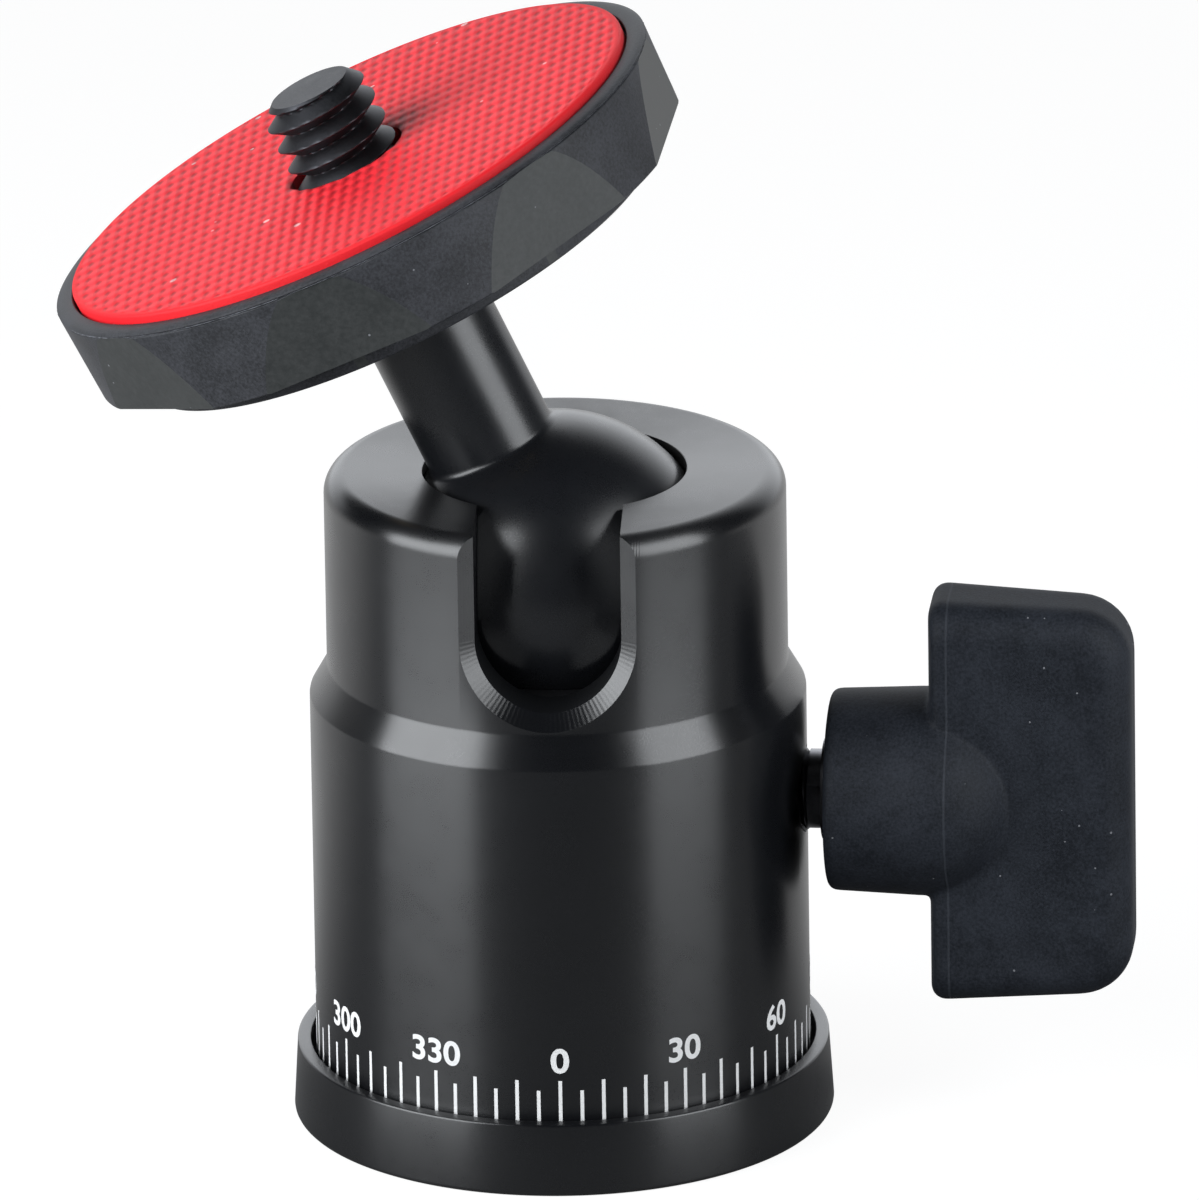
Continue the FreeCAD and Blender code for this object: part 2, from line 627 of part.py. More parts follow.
def facet_cutter():
    """Wedge that shaves one finger facet, deepest at the skirt's foot, built facing +X."""
    foot = DISC_SKIRT_RADIUS * cos(radians(FACET_FOOT_HALF_DEGREES))
    head = DISC_RIM_RADIUS * cos(radians(FACET_TOP_HALF_DEGREES))
    points = [at(foot, SKIRT_BOTTOM), at(foot, DISC_BOTTOM), at(FAR, DISC_BOTTOM),
              at(FAR, PARTING_HEIGHT), at(head, PARTING_HEIGHT)]
    wire = Part.makePolygon(points + points[:1])
    cutter = Part.Face(wire).extrude(Vector(0, FAR, 0))
    cutter.translate(Vector(0, -FAR / 2, 0))
    return cutter


def facet_angles():
    step = 360 / FACET_COUNT
    return [-(FACET_START_DEGREES + step * number) for number in range(FACET_COUNT)]


def disc_pocket():
    """Coring ring under the disc, crossed by a rib behind the middle of each facet."""
    top = PAD_BOTTOM - DISC_FLOOR
    pocket = tube(POCKET_OUTER_RADIUS, POCKET_INNER_RADIUS, DISC_BOTTOM, top)
    for angle in facet_angles():
        rib = Part.makeBox(FAR, RIB_WIDTH, FAR, Vector(0, -RIB_WIDTH / 2, 0))
        rib.rotate(ORIGIN, UP, angle)
        pocket = pocket.cut(rib)
    return pocket


def platform_disc():
    body = disc_blank()
    for angle in facet_angles():
        cutter = facet_cutter()
        cutter.rotate(ORIGIN, UP, angle)
        body = body.cut(cutter)
    return on_stem(body.cut(disc_pocket()))


def grip_pad():
    fillet_start, fillet_middle, fillet_end = rounded_corner(
        PAD_RADIUS - PAD_EDGE_FILLET, PAD_TOP - PAD_EDGE_FILLET, PAD_EDGE_FILLET, 0, 90)
    outline = [
        line(at(PAD_HOLE_RADIUS, PAD_BOTTOM), at(PAD_RADIUS, PAD_BOTTOM)),
        line(at(PAD_RADIUS, PAD_BOTTOM), fillet_start),
        arc(fillet_start, fillet_middle, fillet_end),
        line(fillet_end, at(PAD_HOLE_RADIUS, PAD_TOP)),
        line(at(PAD_HOLE_RADIUS, PAD_TOP), at(PAD_HOLE_RADIUS, PAD_BOTTOM)),
    ]
    return on_stem(turned(outline))


PIECES = [pan_base, base_screws, pan_spindle, tripod_bush, pan_washer, thrust_washer,
          spindle_circlip, barrel, bottom_plug, drag_spring, clamp_plunger, clamp_stud,
          knob_bush, wing_knob, ball_cup, ball_stem, camera_screw, disc_insert,
          platform_disc, grip_pad]

os.makedirs("parts", exist_ok=True)
for piece in PIECES:
    shape = piece()
    shape.exportStep("parts/" + piece.__name__ + ".step")
    print(piece.__name__, "volume", round(shape.Volume, 2), "solids", len(shape.Solids),
          "valid", shape.isValid())
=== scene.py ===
import math
import random
from math import cos, pi, radians, sin, sqrt, tan
import bmesh
import bpy
from mathutils import Matrix, Vector


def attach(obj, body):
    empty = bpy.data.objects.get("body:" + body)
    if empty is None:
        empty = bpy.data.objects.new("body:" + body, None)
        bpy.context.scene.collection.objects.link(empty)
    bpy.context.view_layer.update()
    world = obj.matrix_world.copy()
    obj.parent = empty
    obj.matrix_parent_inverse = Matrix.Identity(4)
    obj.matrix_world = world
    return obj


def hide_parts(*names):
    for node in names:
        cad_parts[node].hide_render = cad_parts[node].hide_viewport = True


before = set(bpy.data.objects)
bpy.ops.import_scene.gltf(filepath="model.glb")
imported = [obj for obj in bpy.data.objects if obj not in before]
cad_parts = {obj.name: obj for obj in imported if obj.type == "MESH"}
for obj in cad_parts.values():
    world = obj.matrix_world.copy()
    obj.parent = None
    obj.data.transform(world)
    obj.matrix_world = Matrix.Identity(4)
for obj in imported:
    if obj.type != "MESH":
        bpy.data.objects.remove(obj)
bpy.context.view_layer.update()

bpy.context.scene.view_settings.view_transform = "Standard"

# All sizes below are millimetres; every mesh is turned into metres as it is made.
MM = 0.001

# Where the camera stood: a long lens, a little above the head and a little to its right.
CAMERA_DISTANCE = 1223.6
CAMERA_ELEVATION = 19.67
CAMERA_AZIMUTH = 2.6
CAMERA_ROLL = 0.92
CAMERA_FOCAL_PIXELS = 22168.0
PHOTO_WIDTH = 1199
PHOTO_HEIGHT = 1200
AIM_HEIGHT = 30.0
AIM_PIXEL = (556.5, 592.4)

# Pan base
BASE_RADIUS = 15.0
BASE_HEIGHT = 4.15
BASE_FLOOR = 1.8
BASE_FOOT_ROUND = 0.3
BASE_RUNNING_GAP = 0.3
LIP_RADIUS = 14.77
LIP_ROUND = 0.12
LIP_INNER_ROUND = 0.06
SPINDLE_HOLE = 5.55
BASE_SCREW_CIRCLE = 7.0
BASE_SCREW_COUNT = 3
BASE_SCREW_HEAD = 1.8
BASE_SCREW_SHANK = 0.95
BASE_SCREW_TOP = 2.75
BASE_SCREW_HEX = 1.05
BASE_SCREW_HEX_DEPTH = 0.85
BASE_SCREW_SUNK = 0.1
BASE_SCREW_GAP = 0.05
SOCKET_RADIUS = 3.175
SOCKET_BUSH_RADIUS = 4.6
SOCKET_LENGTH = 7.4
SOCKET_LEAD_IN = 0.45

# Barrel
LOWER_RADIUS = 13.73
UPPER_RADIUS = 12.75
STEP_BOTTOM = 24.5
STEP_TOP = 26.2
STEP_EDGE = 0.1
BARREL_BOTTOM = 2.4
BARREL_TOP = 37.3
BARREL_FOOT_CHAMFER = 0.25
CROWN_FILLET = 1.2
OPENING_RADIUS = 7.3
OPENING_CHAMFER = 0.04
BORE_RADIUS = 9.25
SEAT_RADIUS = 9.05
PLUG_TOP = 7.5
PLUG_BORE = 11.45
NOTCH_HALF_WIDTH = 4.02
NOTCH_CHAMFER = 0.85
NOTCH_CENTRE = 31.25

# Degree scale
SCALE_ZERO_DEGREES = 1.65
TICK_STEP_DEGREES = 5
TICK_FOOT = 3.35
LONG_TICK_TOP = 6.38
SHORT_TICK_TOP = 5.8
TICK_WIDTH = 0.2
PRINT_THICKNESS = 0.012
NUMERAL_STEP_DEGREES = 30
NUMERAL_HEIGHT = 1.47
NUMERAL_STRETCH = 1.07
NUMERAL_BOLDNESS = 0.024
NUMERAL_CENTRE = 7.55

# Ball, stem and lean
BALL_CENTRE = 31.25
BALL_RADIUS = 9.0
STEM_RADIUS = 3.69
STEM_FILLET = 0.5
STEM_EDGE = 0.12
STEM_LENGTH = 19.65
SHANK_HOLE_DEPTH = 7.2
LEAN_DEGREES = 25.0

# Lock disc, with heights counted along the stem from the ball's centre
PAD_TOP = 26.55
PAD_PROUD = 0.45
RIM_RADIUS = 17.95
SKIRT_RADIUS = 17.75
SKIRT_FOOT = PAD_TOP - 5.8
SKIRT_EDGE = 0.08
PARTING = PAD_TOP - 0.75
PARTING_GROOVE = 0.09
FLASH_HEIGHT = 0.11
FLASH_SUNK = 0.07
FLASH_ROOT = 0.12
LIP_INNER = 16.9
LIP_OUTER = 17.25
LIP_EDGE = 0.05
BOSS_RADIUS = 15.7
BOSS_TAPER = 0.2
BOSS_EDGE = 0.1
FACET_COUNT = 8
FACET_START = 5.5
FACET_TOP_HALF = 5.3
FACET_FOOT_HALF = 16.6
FACET_MATCH = 0.9994
FACET_FOOT_REACH = SKIRT_RADIUS * cos(radians(FACET_FOOT_HALF))
FACET_TOP_REACH = RIM_RADIUS * cos(radians(FACET_TOP_HALF))
CUTTER_HALF_WIDTH = 5.9
CUTTER_REACH = 22.0
CUTTER_FOOT = STEM_LENGTH - 0.5
POCKET_INNER = 7.6
POCKET_OUTER = 14.9
POCKET_RIB = 1.2
DISC_FLOOR = 1.6
INSERT_RADIUS = 5.45
INSERT_FLANGE_RADIUS = 6.65
INSERT_FLANGE = 0.9

# Grip pad
PAD_THICKNESS = 1.3
PAD_RADIUS = 16.75
PAD_EDGE = 0.18
PAD_BORDER = 0.5
PAD_HOLE = 3.35
PAD_HOLE_WOBBLE = 0.12
PAD_HOLE_SPOTS = 36
WEAVE_ALONG = 1.45
WEAVE_ACROSS = 2.7

# Camera screw, with the same heights as the disc
SCREW_RADIUS = 3.1
SCREW_CORE = 2.25
SCREW_PITCH = 1.27
SCREW_TOP = 31.05
SCREW_TIP_CHAMFER = 0.8
SHANK_RADIUS = 2.0
SHANK_LENGTH = 7.0
THREAD_ROOT_SHARE = 0.04
THREAD_FLANK_SHARE = 0.9

# Clamp stud, with distances along the knob's axis from the barrel's
KNOB_HEIGHT = 18.8
KNOB_AZIMUTH = -3.5
STUD_RADIUS = 2.4
STUD_CORE = 2.0
STUD_PITCH = 0.8
STUD_NECK = 2.2
STUD_NECK_CHAMFER = 0.2
STUD_TIP = 3.4
STUD_TIP_RADIUS = 0.7
STUD_CONE_END = 6.4
STUD_THREAD_END = 13.95
STUD_END = 20.1
STUD_HOLE_GAP = 0.05
STUD_HOLE_SPAN = (5, 20)

# Wing knob, with the same distances as the stud
HUB_FACE = 15.05
HUB_FACE_ROUND = 0.5
HUB_RADIUS = 5.6
HUB_ROOT = 5.8
DOME_CENTRE = 20.2
WING_START = 20.7
WING_END = 31.9
WING_PARTING = 21.8
WING_HALF_HEIGHT = 11.7
WING_HALF_THICKNESS = 3.2
WING_DRAFT = 3.2
WING_FACE_DRAFT = 2.2
WING_OUTER_CORNER = 3.0
WING_INNER_CORNER = 0.8
WING_EDGE_ROUND = 1.8
WING_CORNER_SHARE = 0.8
WING_INNER_SHARE = 0.3
WITNESS_CORE = 0.03
WITNESS_EDGE = 0.08
SKIN_GRAIN = 0.14
BUSH_SEAT_RADIUS = 3.0
BUSH_SEAT_DEPTH = 5.0

# Studio
SOFTBOX_DISTANCE = 260.0
SOFTBOX_ELEVATION = 21
SOFTBOX_HEIGHT = 250
LEFT_SOFTBOX = {"azimuth": -60, "width": 245, "radiance": 6.0}
RIGHT_SOFTBOX = {"azimuth": 60, "width": 175, "radiance": 4.4}
LAMP_COLOUR = (0.94, 0.97, 1.0)
ROOM_COLOUR = (0.93, 0.96, 1.0, 1)
ROOM_FRONT = 0.015
ROOM_BACK = 1.8
ROOM_BACK_SPAN = (0.55, 0.92)
ROOM_TOP_SPAN = (0.5, 0.75)
ROOM_TOP_SHARE = 0.3
BACKDROP = 1.0
FLOOR_REACH = 2500
FLOOR_GLOW = 0.9
# Painted reflection: the floor's glow for glossy and transmitted rays, dim near the head and bright
# behind it
FLOOR_REFLECTION_GLOW_NEAR = 0.03
FLOOR_REFLECTION_GLOW_FAR = 0.6
FLOOR_REFLECTION_GLOW_SPAN = (4, 45)


def polar(radius, degrees):
    angle = radians(degrees)
    return radius * cos(angle), radius * sin(angle)


def upright(point):
    return point


def turned(x, y, degrees):
    """Two coordinates of a plane, or its two directions, turned round its origin."""
    angle = radians(degrees)
    return (x * cos(angle) - y * sin(angle), x * sin(angle) + y * cos(angle))


def on_stem(point):
    """Tip a point given about an upright stem, ball centre at the origin, into the lean."""
    x, z = turned(point[0], point[2], LEAN_DEGREES)
    return (x, point[1], z + BALL_CENTRE)


def on_knob(point):
    """Lay a point given with the knob's axis upright along Z onto the knob's own axis."""
    across, side, along = point
    return (*turned(along, side, KNOB_AZIMUTH), KNOB_HEIGHT - across)


def arc_points(centre, radius, start, end, steps):
    """Points of an arc in the outline plane, as (radius, height), angles in degrees."""
    spots = [polar(radius, start + (end - start) * number / steps) for number in range(steps + 1)]
    return [(centre[0] + x, centre[1] + y) for x, y in spots]


def ring(radius, height, segments):
    """One level of a round piece about Z."""
    return [(*polar(radius, 360 * number / segments), height) for number in range(segments)]


def skin(loops, closed=False, capped=False):
    """Vertices and faces of a skin through equal loops, closed on itself or capped at its ends."""
    count = len(loops[0])
    vertices = [point for loop in loops for point in loop]
    faces = []
    for level in range(len(loops) if closed else len(loops) - 1):
        first = level * count
        second = (level + 1) % len(loops) * count
        for number in range(count):
            after = (number + 1) % count
            faces.append([first + number, first + after, second + after, second + number])
    if capped:
        faces += [list(range(count)), list(range(len(vertices) - count, len(vertices)))]
    return vertices, faces


def new_object(name, data):
    made = bpy.data.objects.new(name, data)
    bpy.context.scene.collection.objects.link(made)
    return made


def new_mesh(name, vertices, faces):
    mesh = bpy.data.meshes.new(name)
    mesh.from_pydata([tuple(value * MM for value in point) for point in vertices], [], faces)
    return new_object(name, mesh)


def make_shell(name, vertices, faces, place=upright, sharp_degrees=32):
    """A closed shell, put where its piece sits."""
    piece = new_mesh(name, [place(point) for point in vertices], faces)
    piece.data.validate()
    tidy_shell(piece, sharp_degrees)
    return piece


def tidy_shell(piece, sharp_degrees):
    """Merge doubles, face outwards and keep hard edges crisp."""
    shell = bmesh.new()
    shell.from_mesh(piece.data)
    bmesh.ops.remove_doubles(shell, verts=shell.verts, dist=1e-7)
    bmesh.ops.recalc_face_normals(shell, faces=shell.faces)
    shell.to_mesh(piece.data)
    shell.free()
    piece.data.polygons.foreach_set("use_smooth", [True] * len(piece.data.polygons))
    piece.data.set_sharp_from_angle(angle=radians(sharp_degrees))
    piece.data.update()


def lathe(name, outline, place=upright, segments=192, sharp_degrees=32):
    """A turned body. Its outline of (radius, height) starts and ends on the axis, or is closed."""
    loops = [ring(radius, height, segments) for radius, height in outline]
    vertices, faces = skin(loops, closed=outline[0][0] > 0)
    return make_shell(name, vertices, faces, place, sharp_degrees)


def worked_out_mesh(piece):
    """The piece's mesh with its modifiers worked out."""
    bpy.context.view_layer.update()
    graph = bpy.context.evaluated_depsgraph_get()
    return bpy.data.meshes.new_from_object(piece.evaluated_get(graph))


def apply_modifiers(piece):
    finished = worked_out_mesh(piece)
    piece.modifiers.clear()
    old = piece.data
    piece.data = finished
    bpy.data.meshes.remove(old)


def carve(piece, tool, operation="DIFFERENCE", sharp_degrees=32):
    """Cut the tool out of the piece, or join it on, and remove the tool."""
    cut = piece.modifiers.new("carve", "BOOLEAN")
    cut.operation = operation
    cut.solver = "EXACT"
    cut.object = tool
    apply_modifiers(piece)
    bpy.data.objects.remove(tool)
    tidy_shell(piece, sharp_degrees)


def drill(piece, radius, low, high, place, segments, sharp_degrees=32):
    """Carve a plain round hole along the axis that the placing rule gives."""
    outline = [(0, low), (radius, low), (radius, high), (0, high)]
    carve(piece, lathe("hole", outline, place, segments), sharp_degrees=sharp_degrees)


def finish_piece(piece, material, body, slot_name, *nodes):
    piece.data.materials.clear()
    piece.data.materials.append(material)
    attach(piece, body)
    if nodes:
        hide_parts(*nodes)


# Shader helpers

def plug(tree, socket, value):
    """Link another node's output to a socket, or set a plain value on it."""
    if isinstance(value, bpy.types.NodeSocket):
        tree.links.new(value, socket)
    else:
        socket.default_value = value


def add_node(tree, kind, inputs, **settings):
    node = tree.nodes.new(kind)
    for label, value in settings.items():
        setattr(node, label, value)
    for label, value in inputs.items():
        plug(tree, node.inputs[label], value)
    return node


def math_node(tree, operation, *values):
    node = add_node(tree, "ShaderNodeMath", dict(enumerate(values)), operation=operation)
    return node.outputs[0]


def product(tree, value, *others):
    for other in others:
        value = math_node(tree, "MULTIPLY", value, other)
    return value


def hypotenuse(tree, first, second):
    squares = math_node(tree, "MULTIPLY_ADD", second, second, product(tree, first, first))
    return math_node(tree, "SQRT", squares)


def split(tree, place):
    """The X, Y and Z of a place."""
    return add_node(tree, "ShaderNodeSeparateXYZ", {0: place}).outputs


def join(tree, x, y, z):
    return add_node(tree, "ShaderNodeCombineXYZ", {0: x, 1: y, 2: z}).outputs[0]


def span(tree, value, low, high, out_low=0.0, out_high=1.0):
    """Carry a value from one range over to another, held at both ends."""
    node = add_node(tree, "ShaderNodeMapRange", {
        "Value": value, "From Min": low, "From Max": high, "To Min": out_low, "To Max": out_high})
    return node.outputs["Result"]


def noise(tree, place, scale, detail, roughness=0.5):
    node = add_node(tree, "ShaderNodeTexNoise", {
        "Vector": place, "Scale": scale, "Detail": detail, "Roughness": roughness})
    return node.outputs["Fac"]


def blend_colour(tree, factor, first, second):
    """Colour between two, each a plain colour or another socket."""
    ends = [(*value, 1.0) if isinstance(value, tuple) else value for value in (first, second)]
    node = add_node(tree, "ShaderNodeMix", {0: factor, 6: ends[0], 7: ends[1]}, data_type="RGBA")
    return node.outputs[2]


def new_group(name, outputs, **inputs):
    """An empty shader group with a place, number inputs and number outputs."""
    group = bpy.data.node_groups.new(name, "ShaderNodeTree")
    add_socket = group.interface.new_socket
    add_socket("Place", in_out="INPUT", socket_type="NodeSocketVector")
    for label, value in inputs.items():
        socket = add_socket(label.replace("_", " "), in_out="INPUT", socket_type="NodeSocketFloat")
        socket.default_value = value
    for label in outputs:
        add_socket(label, in_out="OUTPUT", socket_type="NodeSocketFloat")
    return group, group.nodes.new("NodeGroupInput").outputs


def grain_group():
    """Moulded or blasted grain: fine pits plus a slow variation in shade."""
    group, given = new_group("moulded_grain", ("Height", "Shade"),
                             Grain_scale=9000.0, Cloud_scale=300.0)
    fine = noise(group, given["Place"], given["Grain scale"], 3.0, 0.65)
    slow = noise(group, given["Place"], given["Cloud scale"], 4.0, 0.55)
    shade = math_node(group, "MULTIPLY_ADD", slow, 0.4, product(group, fine, 0.6))
    add_node(group, "NodeGroupOutput", {"Height": fine, "Shade": shade})
    return group


def turning_group():
    """Fine lathe lines round Z: they follow height on walls and radius on flat faces."""
    group, given = new_group("turning_lines", ("Height", "Shade"),
                             Line_scale=14000.0, Wobble=0.00002)
    x, y, z = split(group, given["Place"])
    travel = math_node(group, "ADD", hypotenuse(group, x, y), z)
    drift = noise(group, given["Place"], 260.0, 2.0)
    shifted = math_node(group, "MULTIPLY_ADD", drift, given["Wobble"], travel)
    lines = add_node(group, "ShaderNodeTexNoise", {
        "W": shifted, "Scale": given["Line scale"], "Detail": 3.0, "Roughness": 0.7},
        noise_dimensions="1D").outputs["Fac"]
    slow = noise(group, given["Place"], 180.0, 3.0)
    shade = math_node(group, "MULTIPLY_ADD", slow, 0.6, product(group, lines, 0.4))
    add_node(group, "NodeGroupOutput", {"Height": lines, "Shade": shade})
    return group


def dust_group():
    """Sparse pale specks of lint and dust."""
    group, given = new_group("dust_specks", ("Mask",),
                             Speck_scale=900.0, Speck_size=0.09, Rarity=0.8)
    cells = add_node(group, "ShaderNodeTexVoronoi", {
        "Vector": given["Place"], "Scale": given["Speck scale"]}).outputs
    shades = add_node(group, "ShaderNodeSeparateColor", {0: cells["Color"]}).outputs
    chosen = math_node(group, "GREATER_THAN", shades[0], given["Rarity"])
    size = product(group, given["Speck size"], shades[1])
    near = math_node(group, "LESS_THAN", cells["Distance"], size)
    add_node(group, "NodeGroupOutput", {"Mask": product(group, near, chosen)})
    return group


GRAIN = grain_group()
TURNING = turning_group()
DUST = dust_group()


def start_material(name):
    material = bpy.data.materials.new(name)
    material.use_nodes = True
    tree = material.node_tree
    place = tree.nodes.new("ShaderNodeTexCoord").outputs["Object"]
    return material, tree, tree.nodes["Principled BSDF"], place


def use_group(tree, group, place, **values):
    inputs = {label.replace("_", " "): value for label, value in values.items()}
    return add_node(tree, "ShaderNodeGroup", {"Place": place, **inputs}, node_tree=group).outputs


def dusted(tree, place, colour, dust, amount, **specks):
    """The colour with specks of dust on it."""
    mask = use_group(tree, DUST, place, **specks)["Mask"]
    return blend_colour(tree, product(tree, mask, amount), colour, dust)


def set_look(tree, shader, **values):
    for label, value in values.items():
        plug(tree, shader.inputs[label.replace("_", " ")], value)


def add_bump(tree, shader, height, strength, distance, **normal):
    """Relief on a shader, over the relief that an earlier normal gives."""
    bump = add_node(tree, "ShaderNodeBump", {
        "Strength": strength, "Distance": distance, "Height": height, **normal})
    set_look(tree, shader, Normal=bump.outputs["Normal"])
    return bump.outputs["Normal"]


def anodised_metal():
    """Satin black anodised aluminium with fine turning lines and a milled notch edge."""
    material, tree, shader, place = start_material("black_anodised_turned")
    lines = use_group(tree, TURNING, place, Line_scale=9000.0)
    grain = use_group(tree, GRAIN, place, Grain_scale=16000.0, Cloud_scale=420.0)
    colour = blend_colour(tree, lines["Shade"], (0.003, 0.0033, 0.004), (0.007, 0.0075, 0.009))
    x, y, _ = split(tree, place)
    round_axis = join(tree, product(tree, y, -1.0), x, 0.0)
    set_look(tree, shader, IOR=1.7, Anisotropic=0.78, Anisotropic_Rotation=0.25,
             Roughness=span(tree, grain["Shade"], 0.3, 0.7, 0.25, 0.34), Tangent=round_axis,
             Base_Color=dusted(tree, place, colour, (0.35, 0.35, 0.36), 0.35,
                               Speck_scale=420.0, Speck_size=0.05, Rarity=0.9))
    relief = add_bump(tree, shader, lines["Height"], 0.35, 0.000004)
    add_bump(tree, shader, milled_ridges(tree, place), 0.18, 0.00001, Normal=relief)
    return material


def milled_ridges(tree, place):
    """Ridges that the chamfering cutter left round the notch, zero everywhere else."""
    ridges_per_radian = 110.0
    ridges_per_metre = 42000.0
    chamfer_back = -10.9
    margin = 0.012
    x, y, z = split(tree, place)
    rise = math_node(tree, "SUBTRACT", z, NOTCH_CENTRE * MM)
    below = math_node(tree, "MINIMUM", rise, 0.0)
    reach = hypotenuse(tree, x, below)
    radius = hypotenuse(tree, x, y)
    on_chamfer = product(
        tree,
        math_node(tree, "GREATER_THAN", reach, (NOTCH_HALF_WIDTH + 0.01) * MM),
        math_node(tree, "LESS_THAN", reach, (NOTCH_HALF_WIDTH + NOTCH_CHAMFER + 0.3) * MM),
        math_node(tree, "LESS_THAN", y, chamfer_back * MM),
        math_node(tree, "LESS_THAN", radius, (UPPER_RADIUS - margin) * MM))
    upper = math_node(tree, "GREATER_THAN", rise, 0.0)
    lower = math_node(tree, "SUBTRACT", 1.0, upper)
    angle = math_node(tree, "ARCTAN2", below, x)
    phase = math_node(tree, "ADD", product(tree, angle, ridges_per_radian, lower),
                      product(tree, reach, ridges_per_metre, upper))
    return product(tree, math_node(tree, "SINE", phase), on_chamfer)


def satin_ball_metal():
    material, tree, shader, place = start_material("satin_black_ball")
    grain = use_group(tree, GRAIN, place, Grain_scale=12000.0, Cloud_scale=500.0)
    colour = blend_colour(tree, grain["Shade"], (0.006, 0.0066, 0.008), (0.013, 0.014, 0.017))
    set_look(tree, shader, IOR=1.6, Roughness=span(tree, grain["Shade"], 0.3, 0.75, 0.25, 0.34),
             Base_Color=dusted(tree, place, colour, (0.32, 0.27, 0.2), 0.5,
                               Speck_scale=620.0, Speck_size=0.06, Rarity=0.86))
    add_bump(tree, shader, grain["Height"], 0.25, 0.000005)
    return material


def moulded_plastic(name, dark, pale, roughness, grain_scale, bump, gloss=1.5):
    material, tree, shader, place = start_material(name)
    grain = use_group(tree, GRAIN, place, Grain_scale=grain_scale, Cloud_scale=350.0)
    colour = blend_colour(tree, span(tree, grain["Shade"], 0.38, 0.62), dark, pale)
    set_look(tree, shader, IOR=gloss, Roughness=span(tree, grain["Shade"], 0.3, 0.75, *roughness),
             Base_Color=dusted(tree, place, colour, (0.4, 0.41, 0.44), 0.45,
                               Speck_scale=1100.0, Speck_size=0.075, Rarity=0.62))
    add_bump(tree, shader, grain["Height"], bump, 0.00002)
    return material


def knob_plastic():
    """Grained plastic with the fine witness line of the mould across hub and wing."""
    material = moulded_plastic("knob_grained_plastic", (0.006, 0.008, 0.012),
                               (0.023, 0.027, 0.036), (0.6, 0.72), 6500.0, 0.8, 1.32)
    tree = material.node_tree
    shader = tree.nodes["Principled BSDF"]
    colour, relief = [shader.inputs[label].links[0].from_socket
                      for label in ("Base Color", "Normal")]
    x, y, _ = split(tree, add_node(tree, "ShaderNodeTexCoord", {}).outputs["Object"])
    turn = radians(KNOB_AZIMUTH)
    along = math_node(tree, "MULTIPLY_ADD", x, cos(turn), product(tree, y, sin(turn)))
    off = math_node(tree, "ABSOLUTE", math_node(tree, "SUBTRACT", along, WING_PARTING * MM))
    line = span(tree, off, WITNESS_CORE * MM, WITNESS_EDGE * MM, 1.0, 0.0)
    faint = product(tree, line, 0.22)
    set_look(tree, shader, Base_Color=blend_colour(tree, faint, colour, (0.09, 0.1, 0.12)))
    add_bump(tree, shader, line, 0.6, 0.00005, Normal=relief)
    return material


def red_rubber():
    """Red rubber pad with a fine woven lay, laid out in the pad's own plane."""
    material, tree, shader, place = start_material("red_woven_rubber")
    lean = radians(LEAN_DEGREES)
    flat = add_node(tree, "ShaderNodeMapping", {
        "Vector": place, "Rotation": (0.0, lean, 0.0),
        "Location": (-BALL_CENTRE * sin(lean) * MM, 0.0, 0.0)})
    x, y, _ = split(tree, flat.outputs[0])
    rows = product(tree, y, 2 * pi / (WEAVE_ACROSS * MM))
    warp = product(tree, x, 2 * pi / (WEAVE_ALONG * MM))
    first, second = [math_node(tree, "SINE", math_node(tree, operation, rows, warp))
                     for operation in ("ADD", "SUBTRACT")]
    border = PAD_RADIUS - PAD_BORDER
    face = span(tree, hypotenuse(tree, x, y), border * MM, (border + PAD_BORDER / 2) * MM, 1.0, 0.0)
    weave = product(tree, first, second, face)
    grain = use_group(tree, GRAIN, place, Grain_scale=7000.0, Cloud_scale=260.0)
    base = blend_colour(tree, grain["Shade"], (0.93, 0.012, 0.024), (1.0, 0.03, 0.045))
    # Painted shade: the hollows of the weave are darkened to a deep red
    pits = product(tree, span(tree, weave, -1.0, -0.2, 1.0, 0.0), 0.85)
    woven = blend_colour(tree, pits, base, (0.42, 0.003, 0.01))
    shaded = blend_colour(tree, face, (0.85, 0.003, 0.012), woven)
    set_look(tree, shader, Roughness=0.66,
             Base_Color=dusted(tree, place, shaded, (0.95, 0.75, 0.74), 0.6,
                               Speck_scale=600.0, Speck_size=0.13, Rarity=0.8))
    height = math_node(tree, "MULTIPLY_ADD", grain["Height"], 0.35, weave)
    add_bump(tree, shader, height, 0.8, 0.00011)
    return material


def metal(name, dark, pale, roughness):
    material, tree, shader, place = start_material(name)
    lines = use_group(tree, TURNING, place, Line_scale=6000.0)
    grain = use_group(tree, GRAIN, place, Grain_scale=8000.0, Cloud_scale=600.0)
    set_look(tree, shader, Metallic=1.0, Base_Color=blend_colour(tree, grain["Shade"], dark, pale),
             Roughness=span(tree, grain["Shade"], 0.3, 0.75, *roughness))
    add_bump(tree, shader, lines["Height"], 0.3, 0.000005)
    return material


def scale_print():
    material, tree, shader, place = start_material("white_scale_print")
    grain = use_group(tree, GRAIN, place, Grain_scale=9000.0, Cloud_scale=1500.0)
    worn = span(tree, grain["Shade"], 0.3, 0.7)
    set_look(tree, shader, Roughness=0.55,
             Base_Color=blend_colour(tree, worn, (0.8, 0.8, 0.8), (0.95, 0.95, 0.95)))
    return material


